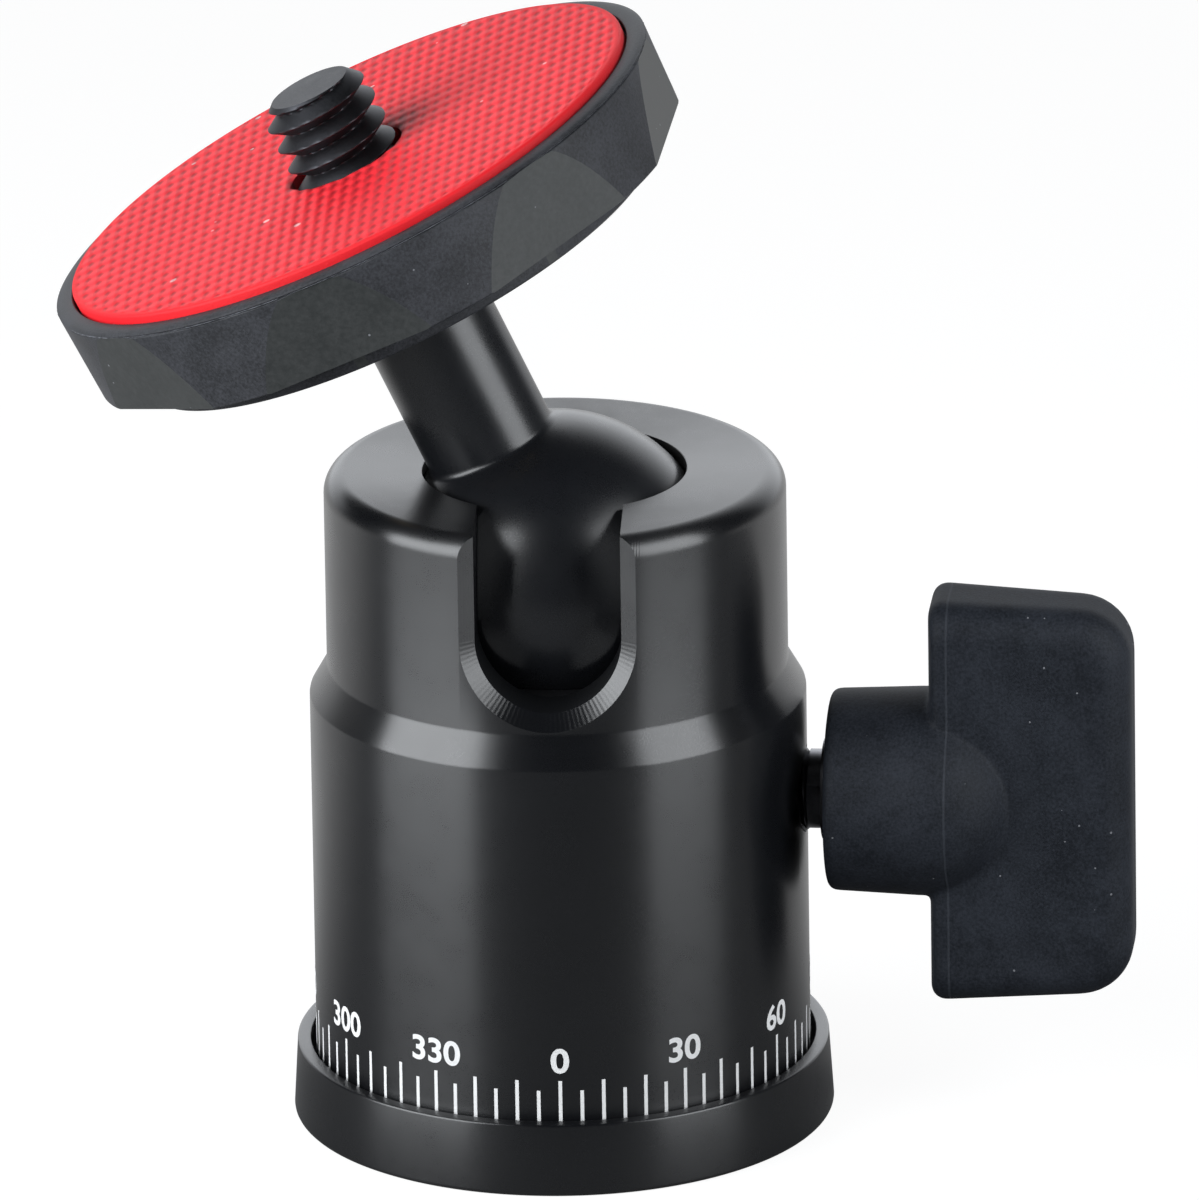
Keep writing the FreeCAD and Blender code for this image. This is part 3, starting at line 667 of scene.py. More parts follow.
BLACK = anodised_metal()
BALL_BLACK = satin_ball_metal()
DISC_PLASTIC = moulded_plastic("disc_grained_plastic", (0.02, 0.021, 0.024),
                               (0.05, 0.052, 0.06), (0.5, 0.64), 6000.0, 0.9, 1.4)
# The facets' copy of the disc plastic: the smoother finish is real, the paler colour is painted
# light
FACET_PLASTIC_PAINTED_PALER = moulded_plastic("disc_smooth_facets_painted_paler", (0.032, 0.035, 0.035),
                                (0.05, 0.053, 0.053), (0.42, 0.5), 3000.0, 0.15, 1.45)
FLASH_PLASTIC = moulded_plastic("disc_pale_flash", (0.05, 0.052, 0.058), (0.26, 0.27, 0.3),
                                (0.5, 0.64), 2600.0, 0.6)
KNOB_PLASTIC = knob_plastic()
RED_RUBBER = red_rubber()
DARK_STEEL = metal("dark_steel", (0.14, 0.14, 0.15), (0.28, 0.28, 0.3), (0.28, 0.42))
SCREW_STEEL = metal("camera_screw_steel", (0.03, 0.031, 0.035), (0.08, 0.082, 0.09), (0.42, 0.6))
BRIGHT_STEEL = metal("bright_steel", (0.5, 0.5, 0.51), (0.64, 0.64, 0.65), (0.22, 0.36))
BARE_ALUMINIUM = metal("bare_turned_aluminium", (0.62, 0.63, 0.64), (0.76, 0.77, 0.78),
                       (0.3, 0.42))
BRASS = metal("turned_brass", (0.62, 0.44, 0.2), (0.78, 0.6, 0.32), (0.25, 0.4))
WHITE_PLASTIC = moulded_plastic("white_washer_plastic", (0.72, 0.72, 0.7), (0.86, 0.86, 0.84),
                                (0.4, 0.5), 6000.0, 0.2)
BLACK_ACETAL = moulded_plastic("black_acetal_cup", (0.008, 0.008, 0.009), (0.016, 0.016, 0.018),
                               (0.4, 0.5), 7000.0, 0.2)
PRINT = scale_print()


# Pan base and barrel

def base_screw_places():
    return [polar(BASE_SCREW_CIRCLE, 90 + 360 * number / BASE_SCREW_COUNT)
            for number in range(BASE_SCREW_COUNT)]


def pan_base():
    inner = LOWER_RADIUS + BASE_RUNNING_GAP
    outline = [(SPINDLE_HOLE, 0.0), (BASE_RADIUS - BASE_FOOT_ROUND, 0.0)]
    outline += arc_points((BASE_RADIUS - BASE_FOOT_ROUND, BASE_FOOT_ROUND),
                          BASE_FOOT_ROUND, -90, 0, 5)[1:]
    outline += arc_points((LIP_RADIUS - LIP_ROUND, BASE_HEIGHT - LIP_ROUND), LIP_ROUND, 0, 90, 4)
    outline += arc_points((inner + LIP_INNER_ROUND, BASE_HEIGHT - LIP_INNER_ROUND),
                          LIP_INNER_ROUND, 90, 180, 3)
    outline += [(inner, BASE_FLOOR), (SPINDLE_HOLE, BASE_FLOOR)]
    base = lathe("pan_base_ring", outline, segments=288)
    head = BASE_SCREW_HEAD + BASE_SCREW_GAP
    shank = BASE_SCREW_SHANK + BASE_SCREW_GAP
    past = 0.5
    for x, y in base_screw_places():
        sink = [(0, -past), (head, -past), (head, BASE_SCREW_SUNK), (shank, 0.95), (shank, 2.2),
                (0, 2.2)]
        hole = lathe("hole", sink, lambda p, x=x, y=y: (p[0] + x, p[1] + y, p[2]), 48)
        carve(base, hole)
    finish_piece(base, BLACK, "base", "black_anodised", "pan_base")


def notch_cutter():
    """U-shaped tool with a flared mouth that follows the barrel's round outside."""
    top = BARREL_TOP + 6.0
    bottom_steps = 40
    past = 0.5
    flared = NOTCH_HALF_WIDTH + NOTCH_CHAMFER

    def wall(x, depth):
        return -sqrt(UPPER_RADIUS ** 2 - x ** 2) + depth

    def loop(half_width, depth_at):
        arc = arc_points((0, NOTCH_CENTRE), half_width, 0, -180, bottom_steps)
        outline = [(half_width, top)] + arc + [(-half_width, top)]
        return [(x, depth_at(x), z) for x, z in outline]

    loops = [loop(NOTCH_HALF_WIDTH, lambda x: -2.0),
             loop(NOTCH_HALF_WIDTH, lambda x: wall(x, NOTCH_CHAMFER)),
             loop(flared, lambda x: wall(x, 0.0)),
             loop(flared + past, lambda x: wall(x, -past)),
             loop(flared + past, lambda x: -UPPER_RADIUS - 4.0)]
    return make_shell("notch_cutter", *skin(loops, capped=True))


def barrel():
    seat_start = math.degrees(math.acos(OPENING_RADIUS / SEAT_RADIUS))
    outline = [(PLUG_BORE, BARREL_BOTTOM), (LOWER_RADIUS - BARREL_FOOT_CHAMFER, BARREL_BOTTOM),
               (LOWER_RADIUS, BARREL_BOTTOM + BARREL_FOOT_CHAMFER),
               (LOWER_RADIUS, STEP_BOTTOM - STEP_EDGE),
               (LOWER_RADIUS - STEP_EDGE * 0.3, STEP_BOTTOM + STEP_EDGE * 0.5),
               (UPPER_RADIUS + STEP_EDGE * 0.3, STEP_TOP - STEP_EDGE * 0.5),
               (UPPER_RADIUS, STEP_TOP + STEP_EDGE)]
    outline += arc_points((UPPER_RADIUS - CROWN_FILLET, BARREL_TOP - CROWN_FILLET),
                          CROWN_FILLET, 0, 90, 14)
    outline += [(OPENING_RADIUS + OPENING_CHAMFER, BARREL_TOP),
                (OPENING_RADIUS, BARREL_TOP - OPENING_CHAMFER)]
    outline += arc_points((0, BALL_CENTRE), SEAT_RADIUS, seat_start, 0, 16)
    outline += [(BORE_RADIUS, BALL_CENTRE), (BORE_RADIUS, PLUG_TOP), (PLUG_BORE, PLUG_TOP)]
    body = lathe("barrel_turned", outline, segments=384)
    carve(body, notch_cutter())
    drill(body, STUD_RADIUS + STUD_HOLE_GAP, *STUD_HOLE_SPAN, on_knob, 64, 28)
    finish_piece(body, BLACK, "housing", "black_anodised", "barrel")


def tick_tree(sizes):
    """Nodes that stand a ring of flat marks round a drum, long and short in turn."""
    tree = bpy.data.node_groups.new("degree_marks", "GeometryNodeTree")
    kinds = {"Geometry": "Geometry", "Count": "Int", "Material": "Material"}
    for label in ("Geometry", *sizes):
        kind = "NodeSocket" + kinds.get(label, "Float")
        tree.interface.new_socket(label, in_out="INPUT", socket_type=kind)
    tree.interface.new_socket("Geometry", in_out="OUTPUT", socket_type="NodeSocketGeometry")
    given = tree.nodes.new("NodeGroupInput").outputs
    index = tree.nodes.new("GeometryNodeInputIndex").outputs[0]
    step = math_node(tree, "DIVIDE", 2 * pi, given["Count"])
    angle = math_node(tree, "MULTIPLY_ADD", index, step, given["Zero angle"])
    shortening = math_node(tree, "SUBTRACT", given["Long top"], given["Short top"])
    odd = math_node(tree, "MODULO", index, 2.0)
    top = math_node(tree, "SUBTRACT", given["Long top"], product(tree, odd, shortening))
    length = math_node(tree, "SUBTRACT", top, given["Foot height"])
    middle = math_node(tree, "MULTIPLY_ADD", length, 0.5, given["Foot height"])
    x = product(tree, math_node(tree, "SINE", angle), given["Drum radius"])
    y = product(tree, math_node(tree, "COSINE", angle), -1.0, given["Drum radius"])
    points = add_node(tree, "GeometryNodePoints", {
        "Count": given["Count"], "Position": join(tree, x, y, middle)})
    mark = add_node(tree, "GeometryNodeMeshCube", {
        "Size": join(tree, given["Mark width"], given["Thickness"], 1.0)})
    stand = add_node(tree, "GeometryNodeInstanceOnPoints", {
        "Points": points.outputs[0], "Instance": mark.outputs["Mesh"],
        "Rotation": join(tree, 0.0, 0.0, angle), "Scale": join(tree, 1.0, 1.0, length)})
    real = add_node(tree, "GeometryNodeRealizeInstances", {0: stand.outputs[0]})
    paint = add_node(tree, "GeometryNodeSetMaterial", {
        "Geometry": real.outputs[0], "Material": given["Material"]})
    add_node(tree, "NodeGroupOutput", {"Geometry": paint.outputs[0]})
    return tree


def degree_marks():
    """The printed marks of the degree scale, every five degrees."""
    marks = new_mesh("degree_marks", [], [])
    sizes = {
        "Count": 360 // TICK_STEP_DEGREES,
        "Drum radius": LOWER_RADIUS * MM,
        "Zero angle": radians(SCALE_ZERO_DEGREES),
        "Foot height": TICK_FOOT * MM,
        "Long top": LONG_TICK_TOP * MM,
        "Short top": SHORT_TICK_TOP * MM,
        "Mark width": TICK_WIDTH * MM,
        "Thickness": 2 * PRINT_THICKNESS * MM,
        "Material": PRINT,
    }
    modifier = marks.modifiers.new("marks", "NODES")
    modifier.node_group = tick_tree(sizes)
    for item in modifier.node_group.interface.items_tree:
        if item.in_out == "INPUT" and item.name in sizes:
            modifier[item.identifier] = sizes[item.name]
    apply_modifiers(marks)
    finish_piece(marks, PRINT, "housing", "white_plastic")


def numeral_outline(text):
    """A flat filled outline of the number, centred and bold, at the letter's own scale."""
    curve = bpy.data.curves.new("numeral", "FONT")
    curve.body = text
    curve.offset = NUMERAL_BOLDNESS
    curve.align_x = "CENTER"
    curve.align_y = "CENTER"
    curve.resolution_u = 6
    holder = new_object("numeral", curve)
    mesh = worked_out_mesh(holder)
    bpy.data.objects.remove(holder)
    points = [(v.co.x, v.co.y) for v in mesh.vertices]
    faces = [tuple(p.vertices) for p in mesh.polygons]
    bpy.data.meshes.remove(mesh)
    return points, faces


def reach_of(values):
    return min(values), max(values)


def numerals():
    """Numbers of the degree scale, every thirty degrees, bent round the barrel."""
    vertices = []
    faces = []
    radius = LOWER_RADIUS + PRINT_THICKNESS
    low, high = reach_of([y for _, y in numeral_outline("0")[0]])
    scale = NUMERAL_HEIGHT / (high - low)
    for degrees in range(0, 360, NUMERAL_STEP_DEGREES):
        points, polygons = numeral_outline(str(degrees))
        left, right = reach_of([x for x, _ in points])
        low, high = reach_of([y for _, y in points])
        first = len(vertices)
        for x, y in points:
            along = (x - (left + right) / 2) * scale * NUMERAL_STRETCH
            angle = radians(degrees + SCALE_ZERO_DEGREES) + along / radius
            height = NUMERAL_CENTRE + (y - (low + high) / 2) * scale
            vertices.append((radius * sin(angle), -radius * cos(angle), height))
        faces += [[first + corner for corner in polygon] for polygon in polygons]
    piece = new_mesh("degree_numerals", vertices, faces)
    finish_piece(piece, PRINT, "housing", "white_plastic")


# Screws, threads and fasteners

def thread_loops(core, crest, pitch, bottom, top, tip_chamfer, segments, rows_per_turn):
    """Levels of a right-hand outside thread between two heights, with a chamfered tip."""
    rows = int(round((top - bottom) / pitch * rows_per_turn))
    loops = []
    for row in range(rows + 1):
        height = bottom + (top - bottom) * row / rows
        limit = crest - max(0.0, height - (top - tip_chamfer))
        loop = []
        for number in range(segments):
            turn = number / segments
            phase = ((height - bottom) / pitch - turn) % 1.0
            ridge = 1 - abs(2 * phase - 1)
            flank = min(1.0, max(0.0, (ridge - THREAD_ROOT_SHARE) / THREAD_FLANK_SHARE))
            radius = min(core + (crest - core) * flank, limit)
            loop.append((*polar(radius, 360 * turn), height))
        loops.append(loop)
    return loops


def camera_screw():
    segments = 96
    loops = [ring(SHANK_RADIUS, STEM_LENGTH - SHANK_LENGTH, segments),
             ring(SHANK_RADIUS, STEM_LENGTH, segments)]
    loops += thread_loops(SCREW_CORE, SCREW_RADIUS, SCREW_PITCH, STEM_LENGTH, SCREW_TOP,
                          SCREW_TIP_CHAMFER, segments, 20)
    screw = make_shell("camera_screw_threaded", *skin(loops, capped=True), on_stem, 26)
    finish_piece(screw, SCREW_STEEL, "screw", "camera_screw_steel", "camera_screw")


def clamp_stud():
    """Threaded stud with a cone tip and a plain neck, built along Z and laid over."""
    segments = 64
    loops = [ring(STUD_TIP_RADIUS, STUD_TIP, segments)]
    loops += thread_loops(STUD_CORE, STUD_RADIUS, STUD_PITCH, STUD_CONE_END, STUD_THREAD_END,
                          STUD_NECK_CHAMFER, segments, 14)
    loops += [ring(STUD_NECK, height, segments) for height in (STUD_THREAD_END, STUD_END)]
    stud = make_shell("clamp_stud_threaded", *skin(loops, capped=True), on_knob, 50)
    finish_piece(stud, DARK_STEEL, "stud", "dark_steel", "clamp_stud")


def tripod_bush():
    """Brass bush whose bore is plain, at the size of the thread's crests, and opens below."""
    lead_in_start = 0.05
    lead_in_end = 0.35
    rows = 82
    outline = []
    for row in range(5):
        height = SOCKET_LENGTH * row / rows
        closed_in = max(0.0, height - lead_in_start) / lead_in_end
        widening = SOCKET_LEAD_IN * (1 - closed_in) if height < lead_in_end else 0.0
        outline.append((SOCKET_RADIUS + widening, height))
    outline += [(SOCKET_RADIUS, SOCKET_LENGTH), (SOCKET_BUSH_RADIUS, SOCKET_LENGTH),
                (SOCKET_BUSH_RADIUS, 0.0)]
    bush = lathe("tripod_bush_threaded", outline, upright, 96, 50)
    finish_piece(bush, BRASS, "base", "brass_bush", "tripod_bush")


def base_screws():
    """Three countersunk socket screws seen from below, joined in one mesh."""
    segments = 48
    rim = 0.08

    def hexagon(height):
        loop = []
        for number in range(segments):
            degrees = 360 * number / segments
            flat = cos(radians(30)) / cos(radians(degrees % 60 - 30))
            loop.append((*polar(BASE_SCREW_HEX * flat, degrees), height))
        return loop

    loops = [hexagon(BASE_SCREW_HEX_DEPTH), hexagon(BASE_SCREW_SUNK)]
    loops += [ring(radius, height, segments) for radius, height in (
        (BASE_SCREW_HEAD - rim, BASE_SCREW_SUNK), (BASE_SCREW_HEAD, BASE_SCREW_SUNK + rim),
        (BASE_SCREW_SHANK, 0.97), (BASE_SCREW_SHANK, BASE_SCREW_TOP))]
    screw_vertices, screw_faces = skin(loops, capped=True)
    vertices = []
    faces = []
    for x, y in base_screw_places():
        first = len(vertices)
        vertices += [(x + across, y + along, height) for across, along, height in screw_vertices]
        faces += [[first + corner for corner in face] for face in screw_faces]
    screws = make_shell("base_socket_screws", vertices, faces, upright, 30)
    finish_piece(screws, DARK_STEEL, "base", "dark_steel", "base_screws")


# Ball, disc and pad

def ball_stem():
    reach = BALL_RADIUS + STEM_FILLET
    side = STEM_RADIUS + STEM_FILLET
    foot = sqrt(reach ** 2 - side ** 2)
    meeting = math.degrees(math.atan2(foot, side))
    hole = SHANK_RADIUS + 0.05
    outline = [(0.0, -BALL_RADIUS)]
    outline += arc_points((0, 0), BALL_RADIUS, -86, meeting, 60)
    outline += arc_points((side, foot), STEM_FILLET, 180 + meeting, 180, 8)[1:]
    outline += [(STEM_RADIUS, STEM_LENGTH - STEM_EDGE), (STEM_RADIUS - STEM_EDGE, STEM_LENGTH),
                (hole, STEM_LENGTH), (hole, STEM_LENGTH - SHANK_HOLE_DEPTH),
                (0.0, STEM_LENGTH - SHANK_HOLE_DEPTH)]
    ball = lathe("ball_and_stem", outline, on_stem, 224, 40)
    finish_piece(ball, BALL_BLACK, "ball", "satin_black_ball", "ball_stem")


def facet_angles():
    return [-(FACET_START + 360 / FACET_COUNT * number) for number in range(FACET_COUNT)]


def facet_wedge(angle):
    """Cutter for one finger facet, leaning in towards the foot of the skirt."""
    profile = [(FACET_FOOT_REACH, CUTTER_FOOT), (FACET_FOOT_REACH, SKIRT_FOOT),
               (FACET_TOP_REACH, PARTING), (CUTTER_REACH, PARTING), (CUTTER_REACH, CUTTER_FOOT)]
    loops = [[(*turned(reach, side, angle), height) for reach, height in profile]
             for side in (-CUTTER_HALF_WIDTH, CUTTER_HALF_WIDTH)]
    return make_shell("facet_wedge", *skin(loops, capped=True), on_stem)


def disc_pocket(angle):
    """Cutter for one coring pocket between two ribs under the disc."""
    corners = []
    for radius, turned_back in ((POCKET_INNER, False), (POCKET_OUTER, True)):
        rib = math.degrees(math.asin(POCKET_RIB / 2 / radius))
        ends = [angle + rib, angle + 360 / FACET_COUNT - rib]
        if turned_back:
            ends.reverse()
        corners += arc_points((0, 0), radius, *ends, 10)
    top = PAD_TOP - PAD_THICKNESS - DISC_FLOOR
    loops = [[(x, y, height) for x, y in corners] for height in (CUTTER_FOOT, top)]
    return make_shell("pocket", *skin(loops, capped=True), on_stem)


def platform_disc():
    rim_top = PAD_TOP - PAD_PROUD
    pad_floor = PAD_TOP - PAD_THICKNESS
    flange_floor = pad_floor - INSERT_FLANGE
    groove_top = PARTING + PARTING_GROOVE
    foot = BOSS_RADIUS - BOSS_TAPER
    outline = [(INSERT_RADIUS, STEM_LENGTH), (foot - BOSS_EDGE, STEM_LENGTH),
               (foot, STEM_LENGTH + BOSS_EDGE), (BOSS_RADIUS, SKIRT_FOOT),
               (SKIRT_RADIUS - SKIRT_EDGE, SKIRT_FOOT), (SKIRT_RADIUS, SKIRT_FOOT + SKIRT_EDGE)]
    for share in (0.25, 0.5, 0.75):
        outline.append((SKIRT_RADIUS + (RIM_RADIUS - SKIRT_RADIUS) * share,
                        SKIRT_FOOT + (PARTING - SKIRT_FOOT) * share))
    outline += [(RIM_RADIUS, PARTING - PARTING_GROOVE), (RIM_RADIUS - PARTING_GROOVE, PARTING),
                (RIM_RADIUS, groove_top)]
    for across, rise in arc_points((0, 0), 1.0, 0, 90, 8)[1:]:
        outline.append((LIP_OUTER + (RIM_RADIUS - LIP_OUTER) * across,
                        max(groove_top, PARTING + (rim_top - PARTING) * rise)))
    outline += [(LIP_INNER + LIP_EDGE, rim_top), (LIP_INNER, rim_top - LIP_EDGE),
                (LIP_INNER, pad_floor), (INSERT_FLANGE_RADIUS, pad_floor),
                (INSERT_FLANGE_RADIUS, flange_floor), (INSERT_RADIUS, flange_floor)]
    disc = lathe("lock_disc", outline, on_stem, 288)
    for angle in facet_angles():
        carve(disc, facet_wedge(angle), sharp_degrees=7)
        carve(disc, disc_pocket(angle), sharp_degrees=7)
    finish_piece(disc, DISC_PLASTIC, "disc", "disc_plastic", "platform_disc")
    smooth_facets(disc)


def smooth_facets(disc):
    """The mould's facets are polished, so they get the smoother finish of the two; their paler
    colour is painted light that the facets catch.
    """
    disc.data.materials.append(FACET_PLASTIC_PAINTED_PALER)
    lean = math.atan2(FACET_TOP_REACH - FACET_FOOT_REACH, PARTING - SKIRT_FOOT)
    origin = Vector(on_stem((0, 0, 0)))
    directions = [Vector(on_stem((*polar(cos(lean), angle), -sin(lean)))) - origin
                  for angle in facet_angles()]
    for polygon in disc.data.polygons:
        if any(polygon.normal.dot(direction) > FACET_MATCH for direction in directions):
            polygon.material_index = 1


def flash_line():
    """Thin broken flash left where the disc's mould halves met."""
    chance = random.Random(11)
    segments = 720
    loops = []
    level = 0.4
    for number in range(segments):
        level = min(1.0, max(-0.15, level + chance.uniform(-0.25, 0.25)))
        proud = FLASH_HEIGHT * max(0.0, level) - FLASH_SUNK
        loops.append([(*polar(radius, 360 * number / segments), PARTING + rise)
                      for radius, rise in ((RIM_RADIUS - FLASH_ROOT, -0.035),
                                           (RIM_RADIUS + proud, 0.01),
                                           (RIM_RADIUS - FLASH_ROOT, 0.045))])
    flash = make_shell("disc_flash_line", *skin(loops, closed=True), on_stem, 60)
    finish_piece(flash, FLASH_PLASTIC, "disc", "disc_plastic")


def grip_pad():
    """Rubber pad with a rounded edge and a slightly ragged hole for the screw."""
    chance = random.Random(5)
    segments = 288
    bottom = PAD_TOP - PAD_THICKNESS
    edge = arc_points((PAD_RADIUS - PAD_EDGE, PAD_TOP - PAD_EDGE), PAD_EDGE, 0, 90, 5)
    ragged = [chance.uniform(-PAD_HOLE_WOBBLE, PAD_HOLE_WOBBLE) for _ in range(PAD_HOLE_SPOTS)]
    loops = []
    for number in range(segments):
        spot = number / segments * PAD_HOLE_SPOTS
        here = int(spot)
        share = spot - here
        wobble = ragged[here] * (1 - share) + ragged[(here + 1) % PAD_HOLE_SPOTS] * share
        hole = PAD_HOLE + wobble
        profile = [(hole, bottom), (PAD_RADIUS, bottom)] + edge
        profile += [(radius, PAD_TOP) for radius in (PAD_RADIUS * 0.8, PAD_RADIUS * 0.5,
                                                     hole + 0.5, hole + 0.14)]
        profile.append((hole, PAD_TOP - 0.1))
        loops.append([(*polar(radius, 360 * number / segments), height)
                      for radius, height in profile])
    pad = make_shell("red_grip_pad", *skin(loops, closed=True), on_stem, 40)
    finish_piece(pad, RED_RUBBER, "disc", "red_rubber", "grip_pad")


# Wing knob

def rounded_corners(corners, radii, steps=8):
    """Outline points through the corners, each rounded by its own radius."""
    points = []
    count = len(corners)
    for number, corner in enumerate(corners):
        here = Vector(corner)
        before = (Vector(corners[number - 1]) - here).normalized()
        after = (Vector(corners[(number + 1) % count]) - here).normalized()
        half = before.angle(after) / 2
        centre = here + (before + after).normalized() * (radii[number] / sin(half))
        start = here + before * (radii[number] / tan(half)) - centre
        end = here + after * (radii[number] / tan(half)) - centre
        sweep = math.degrees(start.angle_signed(end))
        for step in range(steps + 1):
            x, y = turned(start.x, start.y, -sweep * step / steps)
            points.append((centre.x + x, centre.y + y))
    return points


def wing_blank():
    """The wing as a drafted plate: thickest at the mould parting, thinner to both ends."""
    drop = (WING_END - WING_PARTING) * sin(radians(WING_DRAFT))
    slope = tan(radians(WING_FACE_DRAFT))
    rounding = arc_points((0, 0), WING_EDGE_ROUND, 90, 0, 7)
    layers = [(-1, *point) for point in rounding] + [(1, *point) for point in reversed(rounding)]
    loops = []
    for side, across, rise in layers:
        inset = WING_EDGE_ROUND - across
        sunk = WING_EDGE_ROUND - rise
        start = WING_START + inset * WING_INNER_SHARE
        end = WING_END - inset
        high = WING_HALF_HEIGHT - inset
        corners = [(start, -high), (end, -high + drop), (end, high - drop), (start, high)]
        outer = WING_OUTER_CORNER - inset * WING_CORNER_SHARE
        radii = [WING_INNER_CORNER, outer, outer, WING_INNER_CORNER]
        loop = []
        for along, height in rounded_corners(corners, radii):
            half = WING_HALF_THICKNESS - abs(along - WING_PARTING) * slope - sunk
            loop.append((height, side * half, along))
        loops.append(loop)
    return make_shell("wing", *skin(loops, capped=True))


def lay_on_knob(piece):
    """Move a mesh made about Z, in metres, onto the knob's own axis."""
    for vertex in piece.data.vertices:
        spot = on_knob(tuple(value / MM for value in vertex.co))
        vertex.co = Vector(tuple(value * MM for value in spot))
    piece.data.update()


def wing_knob():
    outline = [(0.0, HUB_FACE)]
    outline += arc_points((HUB_RADIUS - HUB_FACE_ROUND, HUB_FACE + HUB_FACE_ROUND),
                          HUB_FACE_ROUND, -90, 0, 6)
    outline += arc_points((0, DOME_CENTRE), HUB_ROOT, 0, 90, 24)
    hub = lathe("wing_knob_moulded", outline, upright, 128)
    carve(hub, wing_blank(), "UNION")
    remesh = hub.modifiers.new("skin", "REMESH")
    remesh.mode = "VOXEL"
    remesh.voxel_size = SKIN_GRAIN * MM
    melt = hub.modifiers.new("melt", "SMOOTH")
    melt.factor = 0.5
    melt.iterations = 9
    apply_modifiers(hub)
    drill(hub, BUSH_SEAT_RADIUS, HUB_FACE - 1, HUB_FACE + BUSH_SEAT_DEPTH, upright, 96)
    lay_on_knob(hub)
    tidy_shell(hub, 60)
    finish_piece(hub, KNOB_PLASTIC, "knob", "knob_plastic", "wing_knob")


# Camera, light and ground

def outward(azimuth, elevation):
    """Direction away from the head; azimuth from the front towards the knob's side."""
    turn = radians(azimuth)
    rise = radians(elevation)
    return Vector((sin(turn) * cos(rise), -cos(turn) * cos(rise),
                   sin(rise)))


def camera():
    data = bpy.data.cameras.new("camera")
    holder = new_object("camera", data)
    back = outward(CAMERA_AZIMUTH, CAMERA_ELEVATION)
    right = Vector((*polar(1.0, CAMERA_AZIMUTH), 0.0))
    over = back.cross(right)
    pose = Matrix((*turned(right, over, CAMERA_ROLL), back)).transposed().to_4x4()
    pose.translation = (Vector((0, 0, AIM_HEIGHT)) + back * CAMERA_DISTANCE) * MM
    holder.matrix_world = pose
    data.sensor_fit = "HORIZONTAL"
    data.sensor_width = 36.0
    data.lens = CAMERA_FOCAL_PIXELS / PHOTO_WIDTH * data.sensor_width
    data.shift_x = (PHOTO_WIDTH / 2 - AIM_PIXEL[0]) / PHOTO_WIDTH
    data.shift_y = (AIM_PIXEL[1] - PHOTO_HEIGHT / 2) / PHOTO_WIDTH
    data.clip_start = 0.05
    data.clip_end = 20.0
    bpy.context.scene.camera = holder


def softbox(name, azimuth, width, radiance):
    """A lit panel facing the head."""
    away = outward(azimuth, SOFTBOX_ELEVATION)
    data = bpy.data.lights.new(name, "AREA")
    data.shape = "RECTANGLE"
    data.size = width * MM
    data.size_y = SOFTBOX_HEIGHT * MM
    data.color = LAMP_COLOUR
    data.energy = radiance * pi * width * SOFTBOX_HEIGHT * MM * MM
    lamp = new_object(name, data)
    lamp.location = (Vector((0, 0, AIM_HEIGHT)) + away * SOFTBOX_DISTANCE) * MM
    lamp.rotation_euler = (-away).to_track_quat("-Z", "Y").to_euler()


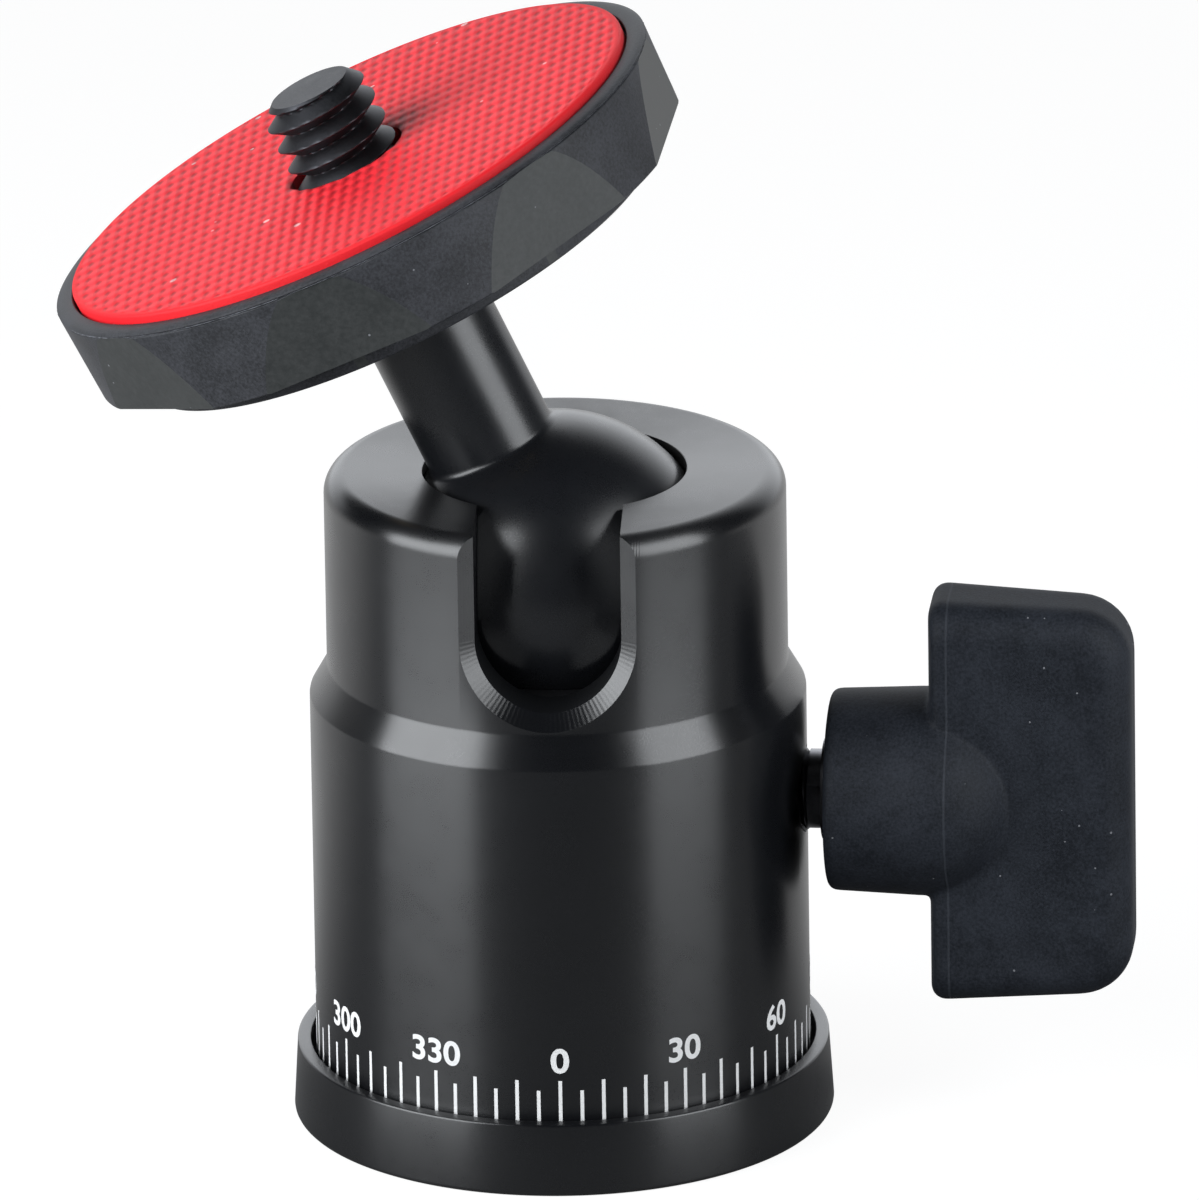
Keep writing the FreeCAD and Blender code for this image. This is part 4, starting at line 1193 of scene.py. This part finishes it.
def studio_room():
    """White to the camera; for light, a dark room in front and a pale wall behind."""
    world = bpy.data.worlds.new("studio")
    world.use_nodes = True
    bpy.context.scene.world = world
    tree = world.node_tree
    _, y, z = split(tree, tree.nodes.new("ShaderNodeTexCoord").outputs["Generated"])
    behind = span(tree, y, *ROOM_BACK_SPAN, ROOM_FRONT, ROOM_BACK)
    overhead = span(tree, z, *ROOM_TOP_SPAN, 1.0, ROOM_TOP_SHARE)
    room = tree.nodes["Background"]
    set_look(tree, room, Color=ROOM_COLOUR, Strength=product(tree, behind, overhead))
    white = add_node(tree, "ShaderNodeBackground", {"Color": (BACKDROP, BACKDROP, BACKDROP, 1)})
    seen = tree.nodes.new("ShaderNodeLightPath").outputs["Is Camera Ray"]
    mix = add_node(tree, "ShaderNodeMixShader", {0: seen, 1: room.outputs[0], 2: white.outputs[0]})
    plug(tree, tree.nodes["World Output"].inputs["Surface"], mix.outputs[0])


def floor():
    """A pale floor that glows a little to the camera and still takes the head's shadow. To glossy
    and transmitted rays it glows as a painted reflection, dim near the head and bright behind it.
    """
    far = FLOOR_REACH
    ground = new_mesh("floor", [(-far, -far, 0), (far, -far, 0), (far, far, 0), (-far, far, 0)],
                      [[0, 1, 2, 3]])
    material, tree, shader, place = start_material("pale_floor")
    clouds = noise(tree, place, 6.0, 3.0)
    rays = tree.nodes.new("ShaderNodeLightPath").outputs
    # Painted reflection: glossy and transmitted rays see the floor glow, dimmer near the head than
    # behind it
    mirrored = math_node(tree, "MAXIMUM", rays["Is Glossy Ray"], rays["Is Transmission Ray"])
    start, end = [edge * MM for edge in FLOOR_REFLECTION_GLOW_SPAN]
    reflection_glow = span(tree, split(tree, place)["Y"], start, end, FLOOR_REFLECTION_GLOW_NEAR, FLOOR_REFLECTION_GLOW_FAR)
    shown = product(tree, rays["Is Camera Ray"], FLOOR_GLOW)
    set_look(tree, shader, Roughness=0.9, Specular_IOR_Level=0.1, Emission_Color=(1, 1, 1, 1),
             Base_Color=blend_colour(tree, clouds, (0.15, 0.15, 0.15), (0.17, 0.17, 0.17)),
             Emission_Strength=math_node(tree, "MULTIPLY_ADD", mirrored, reflection_glow, shown))
    ground.data.materials.append(material)


def dress_cad_nodes():
    """Pieces whose CAD shape already serves take a finish of their own."""
    finishes = {
        BARE_ALUMINIUM: ("pan_spindle", "bottom_plug", "clamp_plunger"),
        BRIGHT_STEEL: ("drag_spring", "thrust_washer", "spindle_circlip"),
        WHITE_PLASTIC: ("pan_washer",),
        BLACK_ACETAL: ("ball_cup",),
        DARK_STEEL: ("knob_bush",),
        BRASS: ("disc_insert",),
    }
    for material, names in finishes.items():
        for name in names:
            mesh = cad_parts[name].data
            mesh.materials.clear()
            mesh.materials.append(material)


camera()
softbox("left_softbox", **LEFT_SOFTBOX)
softbox("right_softbox", **RIGHT_SOFTBOX)
studio_room()
floor()
dress_cad_nodes()
pan_base()
barrel()
degree_marks()
numerals()
camera_screw()
clamp_stud()
tripod_bush()
base_screws()
ball_stem()
platform_disc()
flash_line()
grip_pad()
wing_knob()
